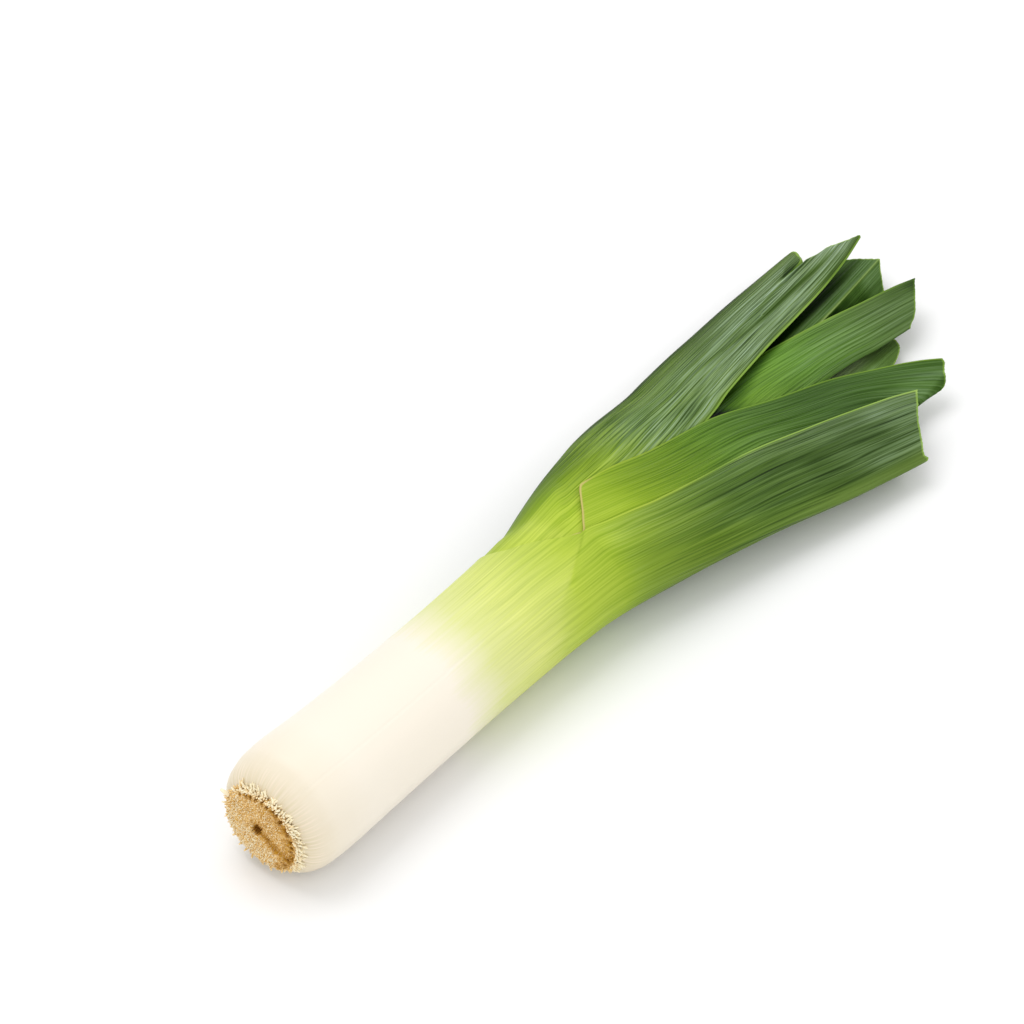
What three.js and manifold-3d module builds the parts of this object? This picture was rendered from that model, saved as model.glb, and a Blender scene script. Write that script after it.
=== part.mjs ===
// A trimmed leek lying on its side, in millimetres, +Z up: the root end at low X, the cut leaves at high X.
// The basal plate with its cut roots, the shank of tightly wrapped sheaths and six leaf blades that fan out
// flat from the neck are separate solids. Four of the blades are folded along a keel at one side and open
// towards the middle of the fan; the two innermost ones are strips that have come unfolded.
// While it is built, X runs from the face of the basal plate and Y from the shank's axis, and the surface the
// leek lies on is Z = 0; the group is then moved so that the origin is under the middle of the whole leek.
import * as THREE from "three";
import { mergeVertices } from "three/addons/utils/BufferGeometryUtils.js";
import Module from "manifold-3d";

const wasm = await Module();
wasm.setup();

// ---- Driving dimensions ----
const NECK_X = 142; // where the outermost sheath opens and the blades part
const HEART_END_X = 206; // where the column of unopened inner leaves ends
const PLATE_RADIUS = 15.6; // the round basal plate
const PLATE_DEPTH = 2.2;
const PIECE_GAP = 0.3; // clearance between separate solids
const AXIS_HEIGHT = 21.2; // the shank's axis above the surface it lies on
const BLADE_THICKNESS = 0.8;
const KEEL_THICKNESS = 1.5; // a blade is thicker along its fold
const LAYER_STEP = 1.25; // from the outside of one blade to the outside of the next one inside it
const BLADE_ROWS = 17;
const SHANK_SIDES = 44;
const ROOT_RINGS = [[3.5, 5], [6.8, 9], [10.2, 14], [13.6, 22]]; // radius, number of root stubs
const RIM_ROOTS = 34; // root stubs that point outwards round the rim

// ---- Curves through a few values ----

// A smooth curve through [x, value] points that never overshoots them.
function track(points) {
  const last = points.length - 1;
  const step = (i) => points[i + 1][0] - points[i][0];
  const rise = (i) => (points[i + 1][1] - points[i][1]) / step(i);
  const slopes = points.map((point, i) => {
    if (i === 0) return rise(0);
    if (i === last) return rise(last - 1);
    if (rise(i - 1) * rise(i) <= 0) return 0;
    const before = 2 * step(i) + step(i - 1);
    const after = step(i) + 2 * step(i - 1);
    return (before + after) / (before / rise(i - 1) + after / rise(i));
  });
  return (x) => {
    if (x <= points[0][0]) return points[0][1];
    if (x >= points[last][0]) return points[last][1];
    let i = 0;
    while (x > points[i + 1][0]) i++;
    const t = (x - points[i][0]) / step(i);
    const from = points[i][1] * (1 + 2 * t) + slopes[i] * step(i) * t;
    const to = points[i + 1][1] * (3 - 2 * t) + slopes[i + 1] * step(i) * (t - 1);
    return from * (1 - t) ** 2 + to * t ** 2;
  };
}

function smoothStep(from, to, value) {
  const t = Math.min(Math.max((value - from) / (to - from), 0), 1);
  return t * t * (3 - 2 * t);
}

// ---- The outer form of the leek ----

const shankRadius = track([
  [2.5, 16.2], [4, 18.6], [7, 20.8], [12, 22.1], [19, 22.4], [40, 21.8], [70, 21.5], [142, 21.5],
]);
const neckSpread = track([[96, 0], [125, 0.9], [NECK_X, 2.4]]); // the neck is wider than it is high
const sideways = track([[0, 0], [30, -0.5], [90, 0], [NECK_X, 0.8]]); // the shank is not quite straight
const halfHeight = track([
  [NECK_X, 21.3], [157, 20.7], [178, 19.2], [190, 18], [212, 15.7], [240, 13.4], [271, 11.4], [302, 10.1],
  [340, 9.4], [384, 9],
]);
const underside = track([[NECK_X, 0], [170, 0.6], [220, 1.4], [270, 0.6], [300, 0], [384, 0]]);
const middleHeight = (x) => halfHeight(x) + underside(x);
// The power of the rounded fold along a keel: 2 is a round one.
const foldPower = track([[NECK_X, 2], [165, 1.95], [200, 1.7], [250, 1.5], [384, 1.4]]);

// The share of its full height a folded sheet has reached at a distance in from its keel.
function fold(distance, width, power) {
  const t = Math.min(Math.max(distance / width, 0), 1);
  return (1 - (1 - t) ** power) ** (1 / power);
}

// ---- The four folded blades ----
// rank is how deep in the bundle a blade starts. side is the way its keel points. keel, upper and lower are
// the Y of the fold and of the two free margins along X. foldWidth is how far in from the keel the blade
// reaches its full height. above and below are how many blades lie outside its two halves. end is the X of
// the cut end against the share of the way from the lower margin at -1 over the keel at 0 to the upper one
// at 1.

const FOLDED = {
  leaf_1: {
    rank: 0,
    side: -1,
    start: NECK_X,
    keel: track([
      [142, -22.6], [150, -23.3], [163, -25.4], [200, -34.4], [228, -41.2], [264, -50.8], [296, -57.6],
      [316, -61.2],
    ]),
    upper: track([
      [142, 2.5], [148, -1], [156.4, -4.3], [167, -7.6], [187.9, -10.7], [211.9, -13], [236.3, -14.9],
      [271, -21.9], [302.3, -31.2], [316, -37.5],
    ]),
    lower: track([[142, 4], [160, -4], [200, -12], [260, -21], [316, -40]]),
    foldWidth: track([[142, 23.5], [200, 24], [316, 23]]),
    above: () => 0,
    below: () => 0,
    end: track([[-1, 306], [-0.4, 300], [0, 295], [0.5, 304], [1, 315.5]]),
  },
  leaf_2: {
    rank: 1,
    side: -1,
    start: NECK_X,
    keel: track([
      [142, -20.5], [150, -21.1], [163, -23], [200, -29.5], [228, -32.5], [264, -35.5], [300, -36.5],
      [323, -37.2], [340, -40],
    ]),
    upper: track([
      [142, -8], [157.5, -3.4], [178.8, 13.5], [195, 13.2], [213.1, 10.6], [245.4, 8.2], [276.6, -1],
      [297.7, -7.4], [318.4, -18.4], [331.7, -26.4], [340, -31.9],
    ]),
    lower: track([[142, -6], [200, 2], [270, -4], [340, -34]]),
    foldWidth: track([[142, 22.5], [200, 21], [300, 18], [340, 12]]),
    above: () => 1,
    below: () => 1,
    end: track([[-1, 334], [-0.4, 332], [0, 330.5], [0.2, 333.5], [0.5, 338], [0.85, 339.7], [1, 338.8]]),
  },
  leaf_3: {
    rank: 2,
    side: 1,
    start: NECK_X,
    keel: track([
      [142, 23.4], [150, 25.6], [163, 29.8], [180, 35], [197, 39.6], [211, 43], [225, 45], [246, 46.5],
      [262, 49], [288, 52.3], [330, 55.2], [384, 56.2],
    ]),
    upper: track([
      [142, -8], [200, -3], [225, 3], [246.8, 9.1], [277.2, 16.3], [301.4, 20.8], [323.5, 23.5],
      [346.4, 26.5], [364.9, 29.9], [384.8, 35],
    ]),
    lower: track([[142, -6], [200, 0], [246, 16], [300, 29], [384, 42]]),
    foldWidth: track([[142, 24.5], [200, 28], [250, 27], [300, 25], [384, 20]]),
    // It lies under leaf 2 near the neck and comes out from under it further along.
    above: (x, y) => THREE.MathUtils.lerp(1 - 0.3 * smoothStep(200, 150, x), 2, leafTwoCover(x, y)),
    below: (x, y) => THREE.MathUtils.lerp(0.7 * smoothStep(260, 200, x), 2, leafTwoCover(x, y)),
    end: track([
      [-1, 360], [-0.4, 356], [0, 356], [0.1, 361], [0.27, 361.5], [0.36, 343.5], [0.43, 356.5], [0.51, 366],
      [0.665, 375.6], [1, 385],
    ]),
    columns: [0, 0.04, 0.12, 0.2, 0.27, 0.315, 0.36, 0.395, 0.43, 0.51, 0.665, 0.83, 1],
  },
  leaf_4: {
    rank: 3,
    side: -1,
    start: HEART_END_X,
    keel: track([
      [206, -13], [250, -6], [285, -2], [307, -1.9], [323, -3.3], [337, -6], [356, -8.4], [378, -12],
    ]),
    upper: track([
      [206, 9], [250, 11], [278.6, 17.2], [308.6, 19.8], [331.9, 16.2], [349.7, 12.2], [367.6, 8], [378, 4.8],
    ]),
    lower: track([[206, 6], [250, 8], [300, 14], [378, 2]]),
    foldWidth: track([[206, 17], [250, 13], [300, 11], [378, 10]]),
    above: () => 3,
    below: () => 4.8,
    end: track([[-1, 364], [-0.4, 358], [0, 354], [0.4, 366], [1, 377.5]]),
  },
};
const EVEN_COLUMNS = [0, 0.02, 0.07, 0.16, 0.27, 0.4, 0.54, 0.68, 0.84, 1];

// How far a point of the left blade lies under the right-hand ones: 1 is fully covered.
function leafTwoCover(x, y) {
  const margin = Math.max(FOLDED.leaf_1.upper(x), FOLDED.leaf_2.upper(x), FOLDED.leaf_2.lower(x));
  return smoothStep(margin + 12, margin + 5, y);
}

// Height of a folded sheet above (way +1) or below (way -1) the middle of the leek, at x and y.
function sheetHeight(blade, x, y, way, inset, thickness) {
  const power = foldPower(x);
  const near = fold(-blade.side * (y - blade.keel(x)) - inset, blade.foldWidth(x), power);
  // Near the neck a blade that wraps past the middle is held in by the fold of the leaf on the other side.
  const other = blade.side < 0 ? FOLDED.leaf_3 : FOLDED.leaf_2;
  const layers = way > 0 ? blade.above(x, y) : blade.below(x, y);
  const reach = blade.side * (y - other.keel(x)) + (other.rank - blade.rank) * KEEL_THICKNESS - inset;
  const far = fold(reach, other.foldWidth(x), power);
  return way * (halfHeight(x) - layers * LAYER_STEP - thickness) * near * far;
}

function foldedBlade(blade) {
  const half = blade.columns || EVEN_COLUMNS;
  const shares = [...half.slice(1).reverse().map((share) => -share), ...half];
  // The columns run so that the first face given to a sheet is the outer one.
  if (blade.side < 0) shares.reverse();
  const face = (inset, thickness) => (row, column) => {
    const share = shares[column];
    const x = THREE.MathUtils.lerp(blade.start + PIECE_GAP, blade.end(share), row / (BLADE_ROWS - 1));
    const keel = blade.keel(x) - blade.side * inset;
    const margin = share < 0 ? blade.lower(x) : blade.upper(x);
    const y = THREE.MathUtils.lerp(keel, margin, Math.abs(share));
    const rise = sheetHeight(blade, x, y, share < 0 ? -1 : 1, inset, thickness);
    return [x, y, middleHeight(x) + rise];
  };
  return sheet(BLADE_ROWS, shares.length, face(0, 0), face(KEEL_THICKNESS, BLADE_THICKNESS));
}

// ---- The two unfolded inner blades ----
// Each is a strip through three lines along X, given as their Y and their height over the middle of the leek.
// end is the X of the cut end against the share of the way from the first line at 0 to the last one at 1.

const STRIPS = {
  leaf_5: {
    edges: [
      {
        y: track([[206, 27], [260, 31], [320, 34], [383, 33]]),
        z: track([[206, 3], [300, 1.5], [383, 1.5]]),
      },
      {
        y: track([[206, 8], [260, 12], [335, 17.6], [365, 21.2], [383, 23.6]]),
        z: track([[206, 11], [250, 6.6], [300, 4.4], [383, 4]]),
      },
      {
        y: track([[206, -2], [260, 4], [320, 8.5], [383, 17]]),
        z: track([[206, 2], [300, 0], [383, 0.4]]),
      },
    ],
    end: track([[0, 371], [0.25, 376], [0.5, 380], [0.75, 376], [1, 370]]),
  },
  leaf_6: {
    edges: [
      {
        y: track([[206, 6], [300, 5], [352, 2]]),
        z: track([[206, -12], [250, -8.6], [300, -6.2], [352, -5.6]]),
      },
      {
        y: track([[206, -10], [300, -9], [352, -8]]),
        z: track([[206, -10.3], [250, -7], [300, -5], [352, -4.2]]),
      },
      {
        y: track([[206, -19], [300, -17], [352, -15]]),
        z: track([[206, -3], [300, -1.4], [352, -1]]),
      },
    ],
    end: track([[0, 350], [0.25, 351.5], [0.5, 349], [0.8, 341], [1, 331]]),
  },
};
const STRIP_COLUMNS = [0, 0.125, 0.25, 0.375, 0.44, 0.5, 0.56, 0.625, 0.75, 0.875, 1];

function stripBlade(blade) {
  const [first, middle, last] = blade.edges;
  const place = (depth) => (row, column) => {
    const share = STRIP_COLUMNS[column];
    const x = THREE.MathUtils.lerp(HEART_END_X + PIECE_GAP, blade.end(share), row / (BLADE_ROWS - 1));
    const [side, way] = share < 0.5 ? [first, 1 - 2 * share] : [last, 2 * share - 1];
    const y = THREE.MathUtils.lerp(middle.y(x), side.y(x), way);
    const z = THREE.MathUtils.lerp(middle.z(x), side.z(x), way ** 1.25);
    return [x, y, middleHeight(x) + z - depth];
  };
  return sheet(BLADE_ROWS, STRIP_COLUMNS.length, place(0), place(BLADE_THICKNESS));
}

// ---- Solids from grids of points ----

function geometryFrom(points, triangles) {
  const geometry = new THREE.BufferGeometry();
  geometry.setAttribute("position", new THREE.Float32BufferAttribute(points.flat(), 3));
  geometry.setIndex(triangles.flat());
  geometry.computeVertexNormals();
  return geometry;
}

// A sheet with an outer and an inner face on the same grid of rows and columns, closed round its four edges.
function sheet(rows, columns, outer, inner) {
  const points = [];
  for (const face of [outer, inner]) {
    for (let row = 0; row < rows; row++) {
      for (let column = 0; column < columns; column++) points.push(face(row, column));
    }
  }
  const triangles = [];
  const quad = (a, b, c, d) => triangles.push([a, c, b], [a, d, c]);
  const under = (index) => index + rows * columns;
  for (let row = 0; row < rows; row++) {
    for (let column = 0; column < columns; column++) {
      const a = row * columns + column;
      const [along, across] = [a + columns, a + 1];
      if (row + 1 < rows && column + 1 < columns) {
        quad(a, along, along + 1, across);
        quad(under(a), under(across), under(along + 1), under(along));
      }
      if (column === 0 && row + 1 < rows) quad(a, under(a), under(along), along);
      if (column === columns - 1 && row + 1 < rows) quad(a, along, under(along), under(a));
      if (row === 0 && column + 1 < columns) quad(a, across, under(across), under(a));
      if (row === rows - 1 && column + 1 < columns) quad(a, under(a), under(across), across);
    }
  }
  return geometryFrom(points, triangles);
}

// Rings with the same number of points, joined one after another and closed by a fan at each end.
function loft(rings) {
  const sides = rings[0].length;
  const points = rings.flat();
  const triangles = [];
  for (let ring = 0; ring + 1 < rings.length; ring++) {
    for (let i = 0; i < sides; i++) {
      const [a, b] = [ring * sides + i, ring * sides + ((i + 1) % sides)];
      triangles.push([a, b, a + sides], [b, b + sides, a + sides]);
    }
  }
  for (const [ring, flip] of [[0, false], [rings.length - 1, true]]) {
    const centre = points.length;
    points.push([0, 1, 2].map((axis) => rings[ring].reduce((sum, point) => sum + point[axis], 0) / sides));
    for (let i = 0; i < sides; i++) {
      const [a, b] = [ring * sides + i, ring * sides + ((i + 1) % sides)];
      triangles.push(flip ? [centre, a, b] : [centre, b, a]);
    }
  }
  return geometryFrom(points, triangles);
}

// ---- The basal plate and its cut roots ----

// Repeatable pseudo-random numbers between 0 and 1.
function seeded(seed) {
  let state = seed;
  return () => {
    state = (Math.imul(state, 1664525) + 1013904223) >>> 0;
    return state / 4294967296;
  };
}

// A closed shape ready for joining: only its positions are kept, and points that coincide are merged.
function solidFrom(shape) {
  shape.deleteAttribute("normal");
  shape.deleteAttribute("uv");
  const welded = mergeVertices(shape, 0.001);
  const vertProperties = new Float32Array(welded.getAttribute("position").array);
  const triVerts = new Uint32Array(welded.getIndex().array);
  return new wasm.Manifold(new wasm.Mesh({ numProp: 3, vertProperties, triVerts }));
}

// A four-sided stub of a root from one point to another, thinner at its tip.
function stub(from, to, baseRadius, tipRadius) {
  const axis = new THREE.Vector3().subVectors(to, from);
  const shape = new THREE.CylinderGeometry(tipRadius, baseRadius, axis.length(), 4);
  const turn = new THREE.Quaternion().setFromUnitVectors(new THREE.Vector3(0, 1, 0), axis.normalize());
  const middle = new THREE.Vector3().addVectors(from, to).multiplyScalar(0.5);
  shape.applyQuaternion(turn);
  shape.translate(middle.x, middle.y, middle.z);
  return solidFrom(shape);
}

// The plate is a shallow dome; its roots stand in rings on the face and point outwards round the rim.
function rootPlateGeometry() {
  const random = seeded(11);
  const between = (low, high) => low + (high - low) * random();
  const at = (x, radius, angle) =>
    new THREE.Vector3(x, radius * Math.cos(angle), AXIS_HEIGHT + radius * Math.sin(angle));
  const profile = [
    new THREE.Vector2(0, -PLATE_DEPTH),
    new THREE.Vector2(PLATE_RADIUS, -PLATE_DEPTH),
    new THREE.Vector2(PLATE_RADIUS + 0.3, -1),
    new THREE.Vector2(PLATE_RADIUS - 0.6, -0.2),
    new THREE.Vector2(9, 0.3),
    new THREE.Vector2(0, 0.5),
  ];
  const disc = new THREE.LatheGeometry(profile, 40);
  disc.rotateZ(Math.PI / 2);
  disc.translate(0, 0, AXIS_HEIGHT);
  const pieces = [solidFrom(disc)];
  for (const [radius, count] of ROOT_RINGS) {
    for (let i = 0; i < count; i++) {
      const angle = (2 * Math.PI * (i + between(-0.3, 0.3))) / count;
      const ring = radius + between(-0.8, 0.8);
      const height = between(0.5, 1.5) * (ring > 11 ? 1.25 : 0.8);
      const tip = at(-0.2 - height, ring + between(0, 0.8), angle);
      pieces.push(stub(at(0.9, ring, angle), tip, between(0.5, 0.8), between(0.25, 0.45)));
    }
  }
  for (let i = 0; i < RIM_ROOTS; i++) {
    const angle = (2 * Math.PI * (i + between(-0.3, 0.3))) / RIM_ROOTS;
    const tip = at(between(-1, 0.9), PLATE_RADIUS + between(0.9, 2), angle);
    pieces.push(stub(at(1, PLATE_RADIUS - 1.2, angle), tip, 0.8, between(0.2, 0.4)));
  }
  const joined = pieces.reduce((sum, piece) => sum.add(piece));
  const mesh = joined.getMesh();
  const geometry = new THREE.BufferGeometry();
  geometry.setAttribute("position", new THREE.Float32BufferAttribute(mesh.vertProperties, 3));
  geometry.setIndex(Array.from(mesh.triVerts));
  const welded = mergeVertices(geometry, 0.001);
  welded.computeVertexNormals();
  return welded;
}

// ---- The shank ----

function shankRing(x) {
  const radius = shankRadius(x);
  return Array.from({ length: SHANK_SIDES }, (_, i) => {
    const angle = (2 * Math.PI * i) / SHANK_SIDES;
    const pleat = 1 - 0.02 * smoothStep(22, 5, x) * (i % 2);
    const y = sideways(x) + (radius + neckSpread(x)) * pleat * Math.cos(angle);
    const z = AXIS_HEIGHT + 0.6 * Math.max(radius - 21.5, 0) + radius * pleat * Math.sin(angle);
    return [x, y, Math.max(z, 0)];
  });
}

// The column of unopened leaves inside the three outer blades, as wide and as high as they leave room for.
function heartRing(x) {
  const right = FOLDED.leaf_2.keel(x) + KEEL_THICKNESS + 1.2;
  const left = FOLDED.leaf_3.keel(x) - KEEL_THICKNESS - 1.2;
  const high = halfHeight(x) - 3 * LAYER_STEP - 0.3;
  return Array.from({ length: SHANK_SIDES }, (_, i) => {
    const angle = (2 * Math.PI * i) / SHANK_SIDES;
    const y = (left + right) / 2 + ((left - right) / 2) * Math.cos(angle);
    const near = fold(y - right, FOLDED.leaf_2.foldWidth(x), foldPower(x));
    const far = fold(left - y, FOLDED.leaf_3.foldWidth(x), foldPower(x));
    return [x, y, middleHeight(x) + Math.sign(Math.sin(angle)) * high * near * far];
  });
}

function shankGeometry() {
  const outside = [2.5, 3.2, 4.4, 6, 8.5, 12, 17, 24, 40, 60, 85, 105, 118, 128, 136, NECK_X].map(shankRing);
  const heart = [NECK_X, 152, 164, 178, 192, HEART_END_X].map(heartRing);
  return loft([...outside, ...heart]);
}

// ---- Put together ----

const ROOT_TAN = new THREE.MeshStandardMaterial({ color: 0xd8b878, roughness: 0.85, metalness: 0 });
const SHANK_WHITE = new THREE.MeshStandardMaterial({ color: 0xf3eedd, roughness: 0.45, metalness: 0 });
const LEAF_GREEN = new THREE.MeshStandardMaterial({ color: 0x4d7a33, roughness: 0.5, metalness: 0 });

const leek = new THREE.Group();
function add(name, geometry, material) {
  const mesh = new THREE.Mesh(geometry, material);
  mesh.name = name;
  leek.add(mesh);
}
add("root_plate", rootPlateGeometry(), ROOT_TAN);
add("shank", shankGeometry(), SHANK_WHITE);
for (const [name, blade] of Object.entries(FOLDED)) add(name, foldedBlade(blade), LEAF_GREEN);
for (const [name, blade] of Object.entries(STRIPS)) add(name, stripBlade(blade), LEAF_GREEN);

const whole = new THREE.Box3().setFromObject(leek);
const middle = whole.getCenter(new THREE.Vector3());
for (const mesh of leek.children) mesh.geometry.translate(-middle.x, -middle.y, -whole.min.z);

export default leek;
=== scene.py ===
"""A trimmed leek that lies on a pale floor: cut roots, a white shank and six leaves that fan out.

All the shapes are worked out in millimetres, with X from the face of the root plate, Y from the middle of
the shank and Z from the floor, and are moved into the frame's place when a mesh is made.
"""

import math
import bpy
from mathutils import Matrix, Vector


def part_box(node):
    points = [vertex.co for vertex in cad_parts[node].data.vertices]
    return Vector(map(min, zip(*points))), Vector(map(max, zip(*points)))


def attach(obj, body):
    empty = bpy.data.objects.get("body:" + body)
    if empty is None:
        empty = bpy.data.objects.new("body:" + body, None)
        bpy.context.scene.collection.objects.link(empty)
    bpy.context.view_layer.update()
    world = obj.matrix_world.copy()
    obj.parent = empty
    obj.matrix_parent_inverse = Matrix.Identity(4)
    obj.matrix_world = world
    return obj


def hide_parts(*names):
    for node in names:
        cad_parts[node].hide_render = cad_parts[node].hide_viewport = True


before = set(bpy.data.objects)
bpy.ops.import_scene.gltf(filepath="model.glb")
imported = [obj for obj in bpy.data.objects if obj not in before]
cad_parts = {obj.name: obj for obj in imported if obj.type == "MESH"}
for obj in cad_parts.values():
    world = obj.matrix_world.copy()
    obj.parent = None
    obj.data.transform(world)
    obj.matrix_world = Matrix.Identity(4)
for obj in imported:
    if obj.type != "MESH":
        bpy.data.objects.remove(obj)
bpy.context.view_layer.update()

from types import SimpleNamespace

import bmesh
import bpy
import numpy as np
from mathutils import Vector

bl_info = {
    "name": "Trimmed leek",
    "version": (1, 0, 0),
    "blender": (4, 5, 0),
    "location": "3D View > Sidebar > Leek",
    "description": "Builds a trimmed leek with cut roots, a white shank and fanned green leaves",
    "category": "Mesh",
}

MM = 0.001

# ---- Curves and blends ----


def track(*points):
    """A smooth curve through (place, value) points that never overshoots them."""
    places, values = np.array(points, float).T
    step = np.diff(places)
    rise = np.diff(values) / step
    slopes = np.concatenate([rise[:1], np.zeros(len(rise) - 1), rise[-1:]])
    for i in range(1, len(rise)):
        if rise[i - 1] * rise[i] > 0:
            before = 2 * step[i] + step[i - 1]
            after = step[i] + 2 * step[i - 1]
            slopes[i] = (before + after) / (before / rise[i - 1] + after / rise[i])

    def value(x):
        x = np.clip(x, places[0], places[-1])
        i = np.clip(np.searchsorted(places, x) - 1, 0, len(step) - 1)
        t = (x - places[i]) / step[i]
        low = values[i] * (1 + 2 * t) + slopes[i] * step[i] * t
        high = values[i + 1] * (3 - 2 * t) + slopes[i + 1] * step[i] * (t - 1)
        return low * (1 - t) ** 2 + high * t**2

    return value


def ease(low, high, value):
    """A smooth change from 0 at low to 1 at high, whichever of them is the greater."""
    t = np.clip((value - low) / (high - low), 0, 1)
    return t * t * (3 - 2 * t)


def span(value, start, full, fading, end):
    """Rises smoothly from start to full, stays at 1, and falls from fading to end."""
    return ease(start, full, value) * ease(end, fading, value)


def lerp(a, b, t):
    return a + (b - a) * t


def bell(value, middle, width):
    """1 at the middle, falling to nothing over the width."""
    return np.exp(-(((value - middle) / width) ** 2))


def ripples(seed, count, shortest, longest):
    """A repeatable wavy line about zero, at most about 1 high, from waves between two lengths."""
    random = np.random.default_rng(seed)
    lengths = random.uniform(shortest, longest, count)
    phases = random.uniform(0, 2 * math.pi, count)

    def value(place):
        waves = [np.sin(2 * math.pi * place / lengths[i] + phases[i]) for i in range(count)]
        return sum(waves) / math.sqrt(count)

    return value


# ---- The outer form of the leek ----

AXIS_HEIGHT = 21.2
SHOULDER_X = 2.5  # where the shank's skin begins, behind the rim of the root plate
CUP_X = 122.0  # the floor of the cup that the sheath makes round the inner leaves
NECK_X = 142.0
BLADE_X = 156.3  # where the outermost blade is free of its sheath
FAN_X = 206.3  # where the inner leaves begin, out of sight
LAYER_STEP = 1.25
KEEL_THICKNESS = 1.5
JOIN_ANGLE = math.radians(78)  # how far round the shank the outermost blade reaches from its keel
ROOT_CENTRE = (1.1, -1.7)  # how far the root plate lies off the shank's axis, in Y and in height
SEED_STEP = 200  # how far apart two leaves lie in the noise across them
HEART_ACROSS = 900  # where the column of unopened leaves lies in the same noise

shank_radius = track(
    (2.5, 16.2), (4, 18.6), (7, 20.8), (12, 22.1), (19, 22.4), (40, 21.8), (70, 21.5), (142, 21.5),
)
neck_spread = track((96, 0), (125, 0.9), (142, 2.4))
sideways = track((0, 0), (30, -0.5), (90, 0), (142, 0.8))
half_height = track(
    (142, 21.3), (157, 20.7), (178, 19.2), (190, 18), (212, 15.7), (240, 13.4), (271, 11.4), (302, 10.1),
    (340, 9.4), (384, 9),
)
underside = track((142, 0), (170, 0.6), (220, 1.4), (270, 0.6), (300, 0), (384, 0))
fold_power = track((142, 2), (165, 1.95), (200, 1.7), (250, 1.5), (384, 1.4))
# Where the outer sheath ends, by the angle round it from the side its own blade is on.
sheath_mouth = track(
    (78, 156.3), (84, 150.4), (92, 145.1), (101, 139.9), (108, 136), (114, 132.9), (135, 130), (180, 131),
)
# Where the sheath of the outer leaf turns into its blade, by the same angle.
blade_crease = track((0, 128), (20, 130.5), (43, 136), (60, 145.2), (76, 156.3))


def middle_height(x):
    return half_height(x) + underside(x)


def fold(distance, width, power):
    """The share of its full height that a folded sheet has reached at a distance in from its keel."""
    t = np.clip(distance / width, 0, 1)
    return (1 - (1 - t) ** power) ** (1 / power)


def shank_point(x, angle, inset=0.0):
    """A point on the shank's skin. The angle goes over the top from the outermost blade's side."""
    radius = shank_radius(x)
    to_root = ease(12, SHOULDER_X, x)
    y = sideways(x) + ROOT_CENTRE[0] * to_root - (radius + neck_spread(x) - inset) * np.cos(angle)
    z = AXIS_HEIGHT + 0.6 * np.maximum(radius - 21.5, 0) + ROOT_CENTRE[1] * to_root
    z = z + (radius - inset) * np.sin(angle)
    return np.stack(np.broadcast_arrays(x, y, np.maximum(z, 0)), -1)


def neck_shift(x, side):
    """How far the skin on one side has moved in from where it is at the neck."""
    here = sideways(x) + side * (shank_radius(x) + neck_spread(x))
    return here - (sideways(NECK_X) + side * (shank_radius(NECK_X) + neck_spread(NECK_X)))


# ---- The folded leaves ----
# side is the way the keel points. keel, upper and lower are the Y of the fold and of the two free margins,
# by X. width is how far in from the keel the leaf reaches its full height. above and below are how many
# layers lie outside its halves. end is the X of the cut end, by the share of the way from the lower margin
# at -1 over the keel at 0 to the upper one at 1. vein_line is the margin that the veins of the upper half
# run along, where that isn't the margin itself. half_width, rows and columns lay out the mesh.

OUTER = SimpleNamespace(
    rank=0,
    side=-1,
    vein_line=None,
    seed=0,
    half_width=31.0,
    rows=140,
    columns=85,
    start=BLADE_X,
    keel=track(
        (142, -22.6), (150, -23.3), (163, -25.4), (200, -34.4), (228, -41.2), (264, -50.8), (296, -57.6),
        (316, -61.2),
    ),
    upper=track(
        (142, -5.2), (150, -5), (156.4, -4.6), (167, -6.8), (178, -8.9), (187.9, -10.7), (211.9, -13),
        (236.3, -14.9), (271, -21.9), (302.3, -31.2), (316, -37.5),
    ),
    lower=track((142, 4), (160, -4), (200, -12), (260, -21), (316, -40)),
    width=track((142, 23.5), (200, 24), (316, 23)),
    above=lambda x, y: 0,
    below=lambda x, y: 0,
    end=track(
        (-1, 300), (-0.4, 294), (-0.05, 292), (0, 292.6), (0.054, 293.7), (0.2, 297), (0.43, 302.3),
        (0.776, 310.7), (1, 315.4),
    ),
)
SECOND_UPPER_EDGE = (
    (195, 13.2), (213.1, 10.6), (245.4, 8.2), (276.6, -1), (297.7, -7.4), (318.4, -18.4), (331.7, -26.4),
    (340, -31.9),
)
SECOND = SimpleNamespace(
    rank=1,
    side=-1,
    vein_line=track((135, 23.4), (178.8, 16), *SECOND_UPPER_EDGE),
    seed=1,
    half_width=29.0,
    rows=190,
    columns=85,
    start=135.0,
    keel=track(
        (142, -20.5), (150, -21.1), (163, -23), (200, -29.5), (228, -32.5), (264, -35.5), (300, -36.5),
        (323, -37.2), (340, -40),
    ),
    upper=track(
        (142, -8), (157.8, -3.6), (161.6, -0.4), (165.1, 2.5), (171, 7.9), (175.7, 12.1), (177.6, 13.4),
        (179.4, 13.9), (184.7, 13.8), *SECOND_UPPER_EDGE,
    ),
    lower=track((142, -6), (200, 2), (270, -4), (340, -34)),
    width=track((142, 22.5), (200, 21), (300, 18), (340, 12)),
    above=lambda x, y: 1,
    below=lambda x, y: 1,
    end=track(
        (-1, 318), (-0.4, 321), (-0.1, 325), (-0.02, 329.5), (0.02, 333), (0.1, 334.8), (0.38, 337),
        (0.95, 340.4), (1, 339.9),
    ),
)
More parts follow.
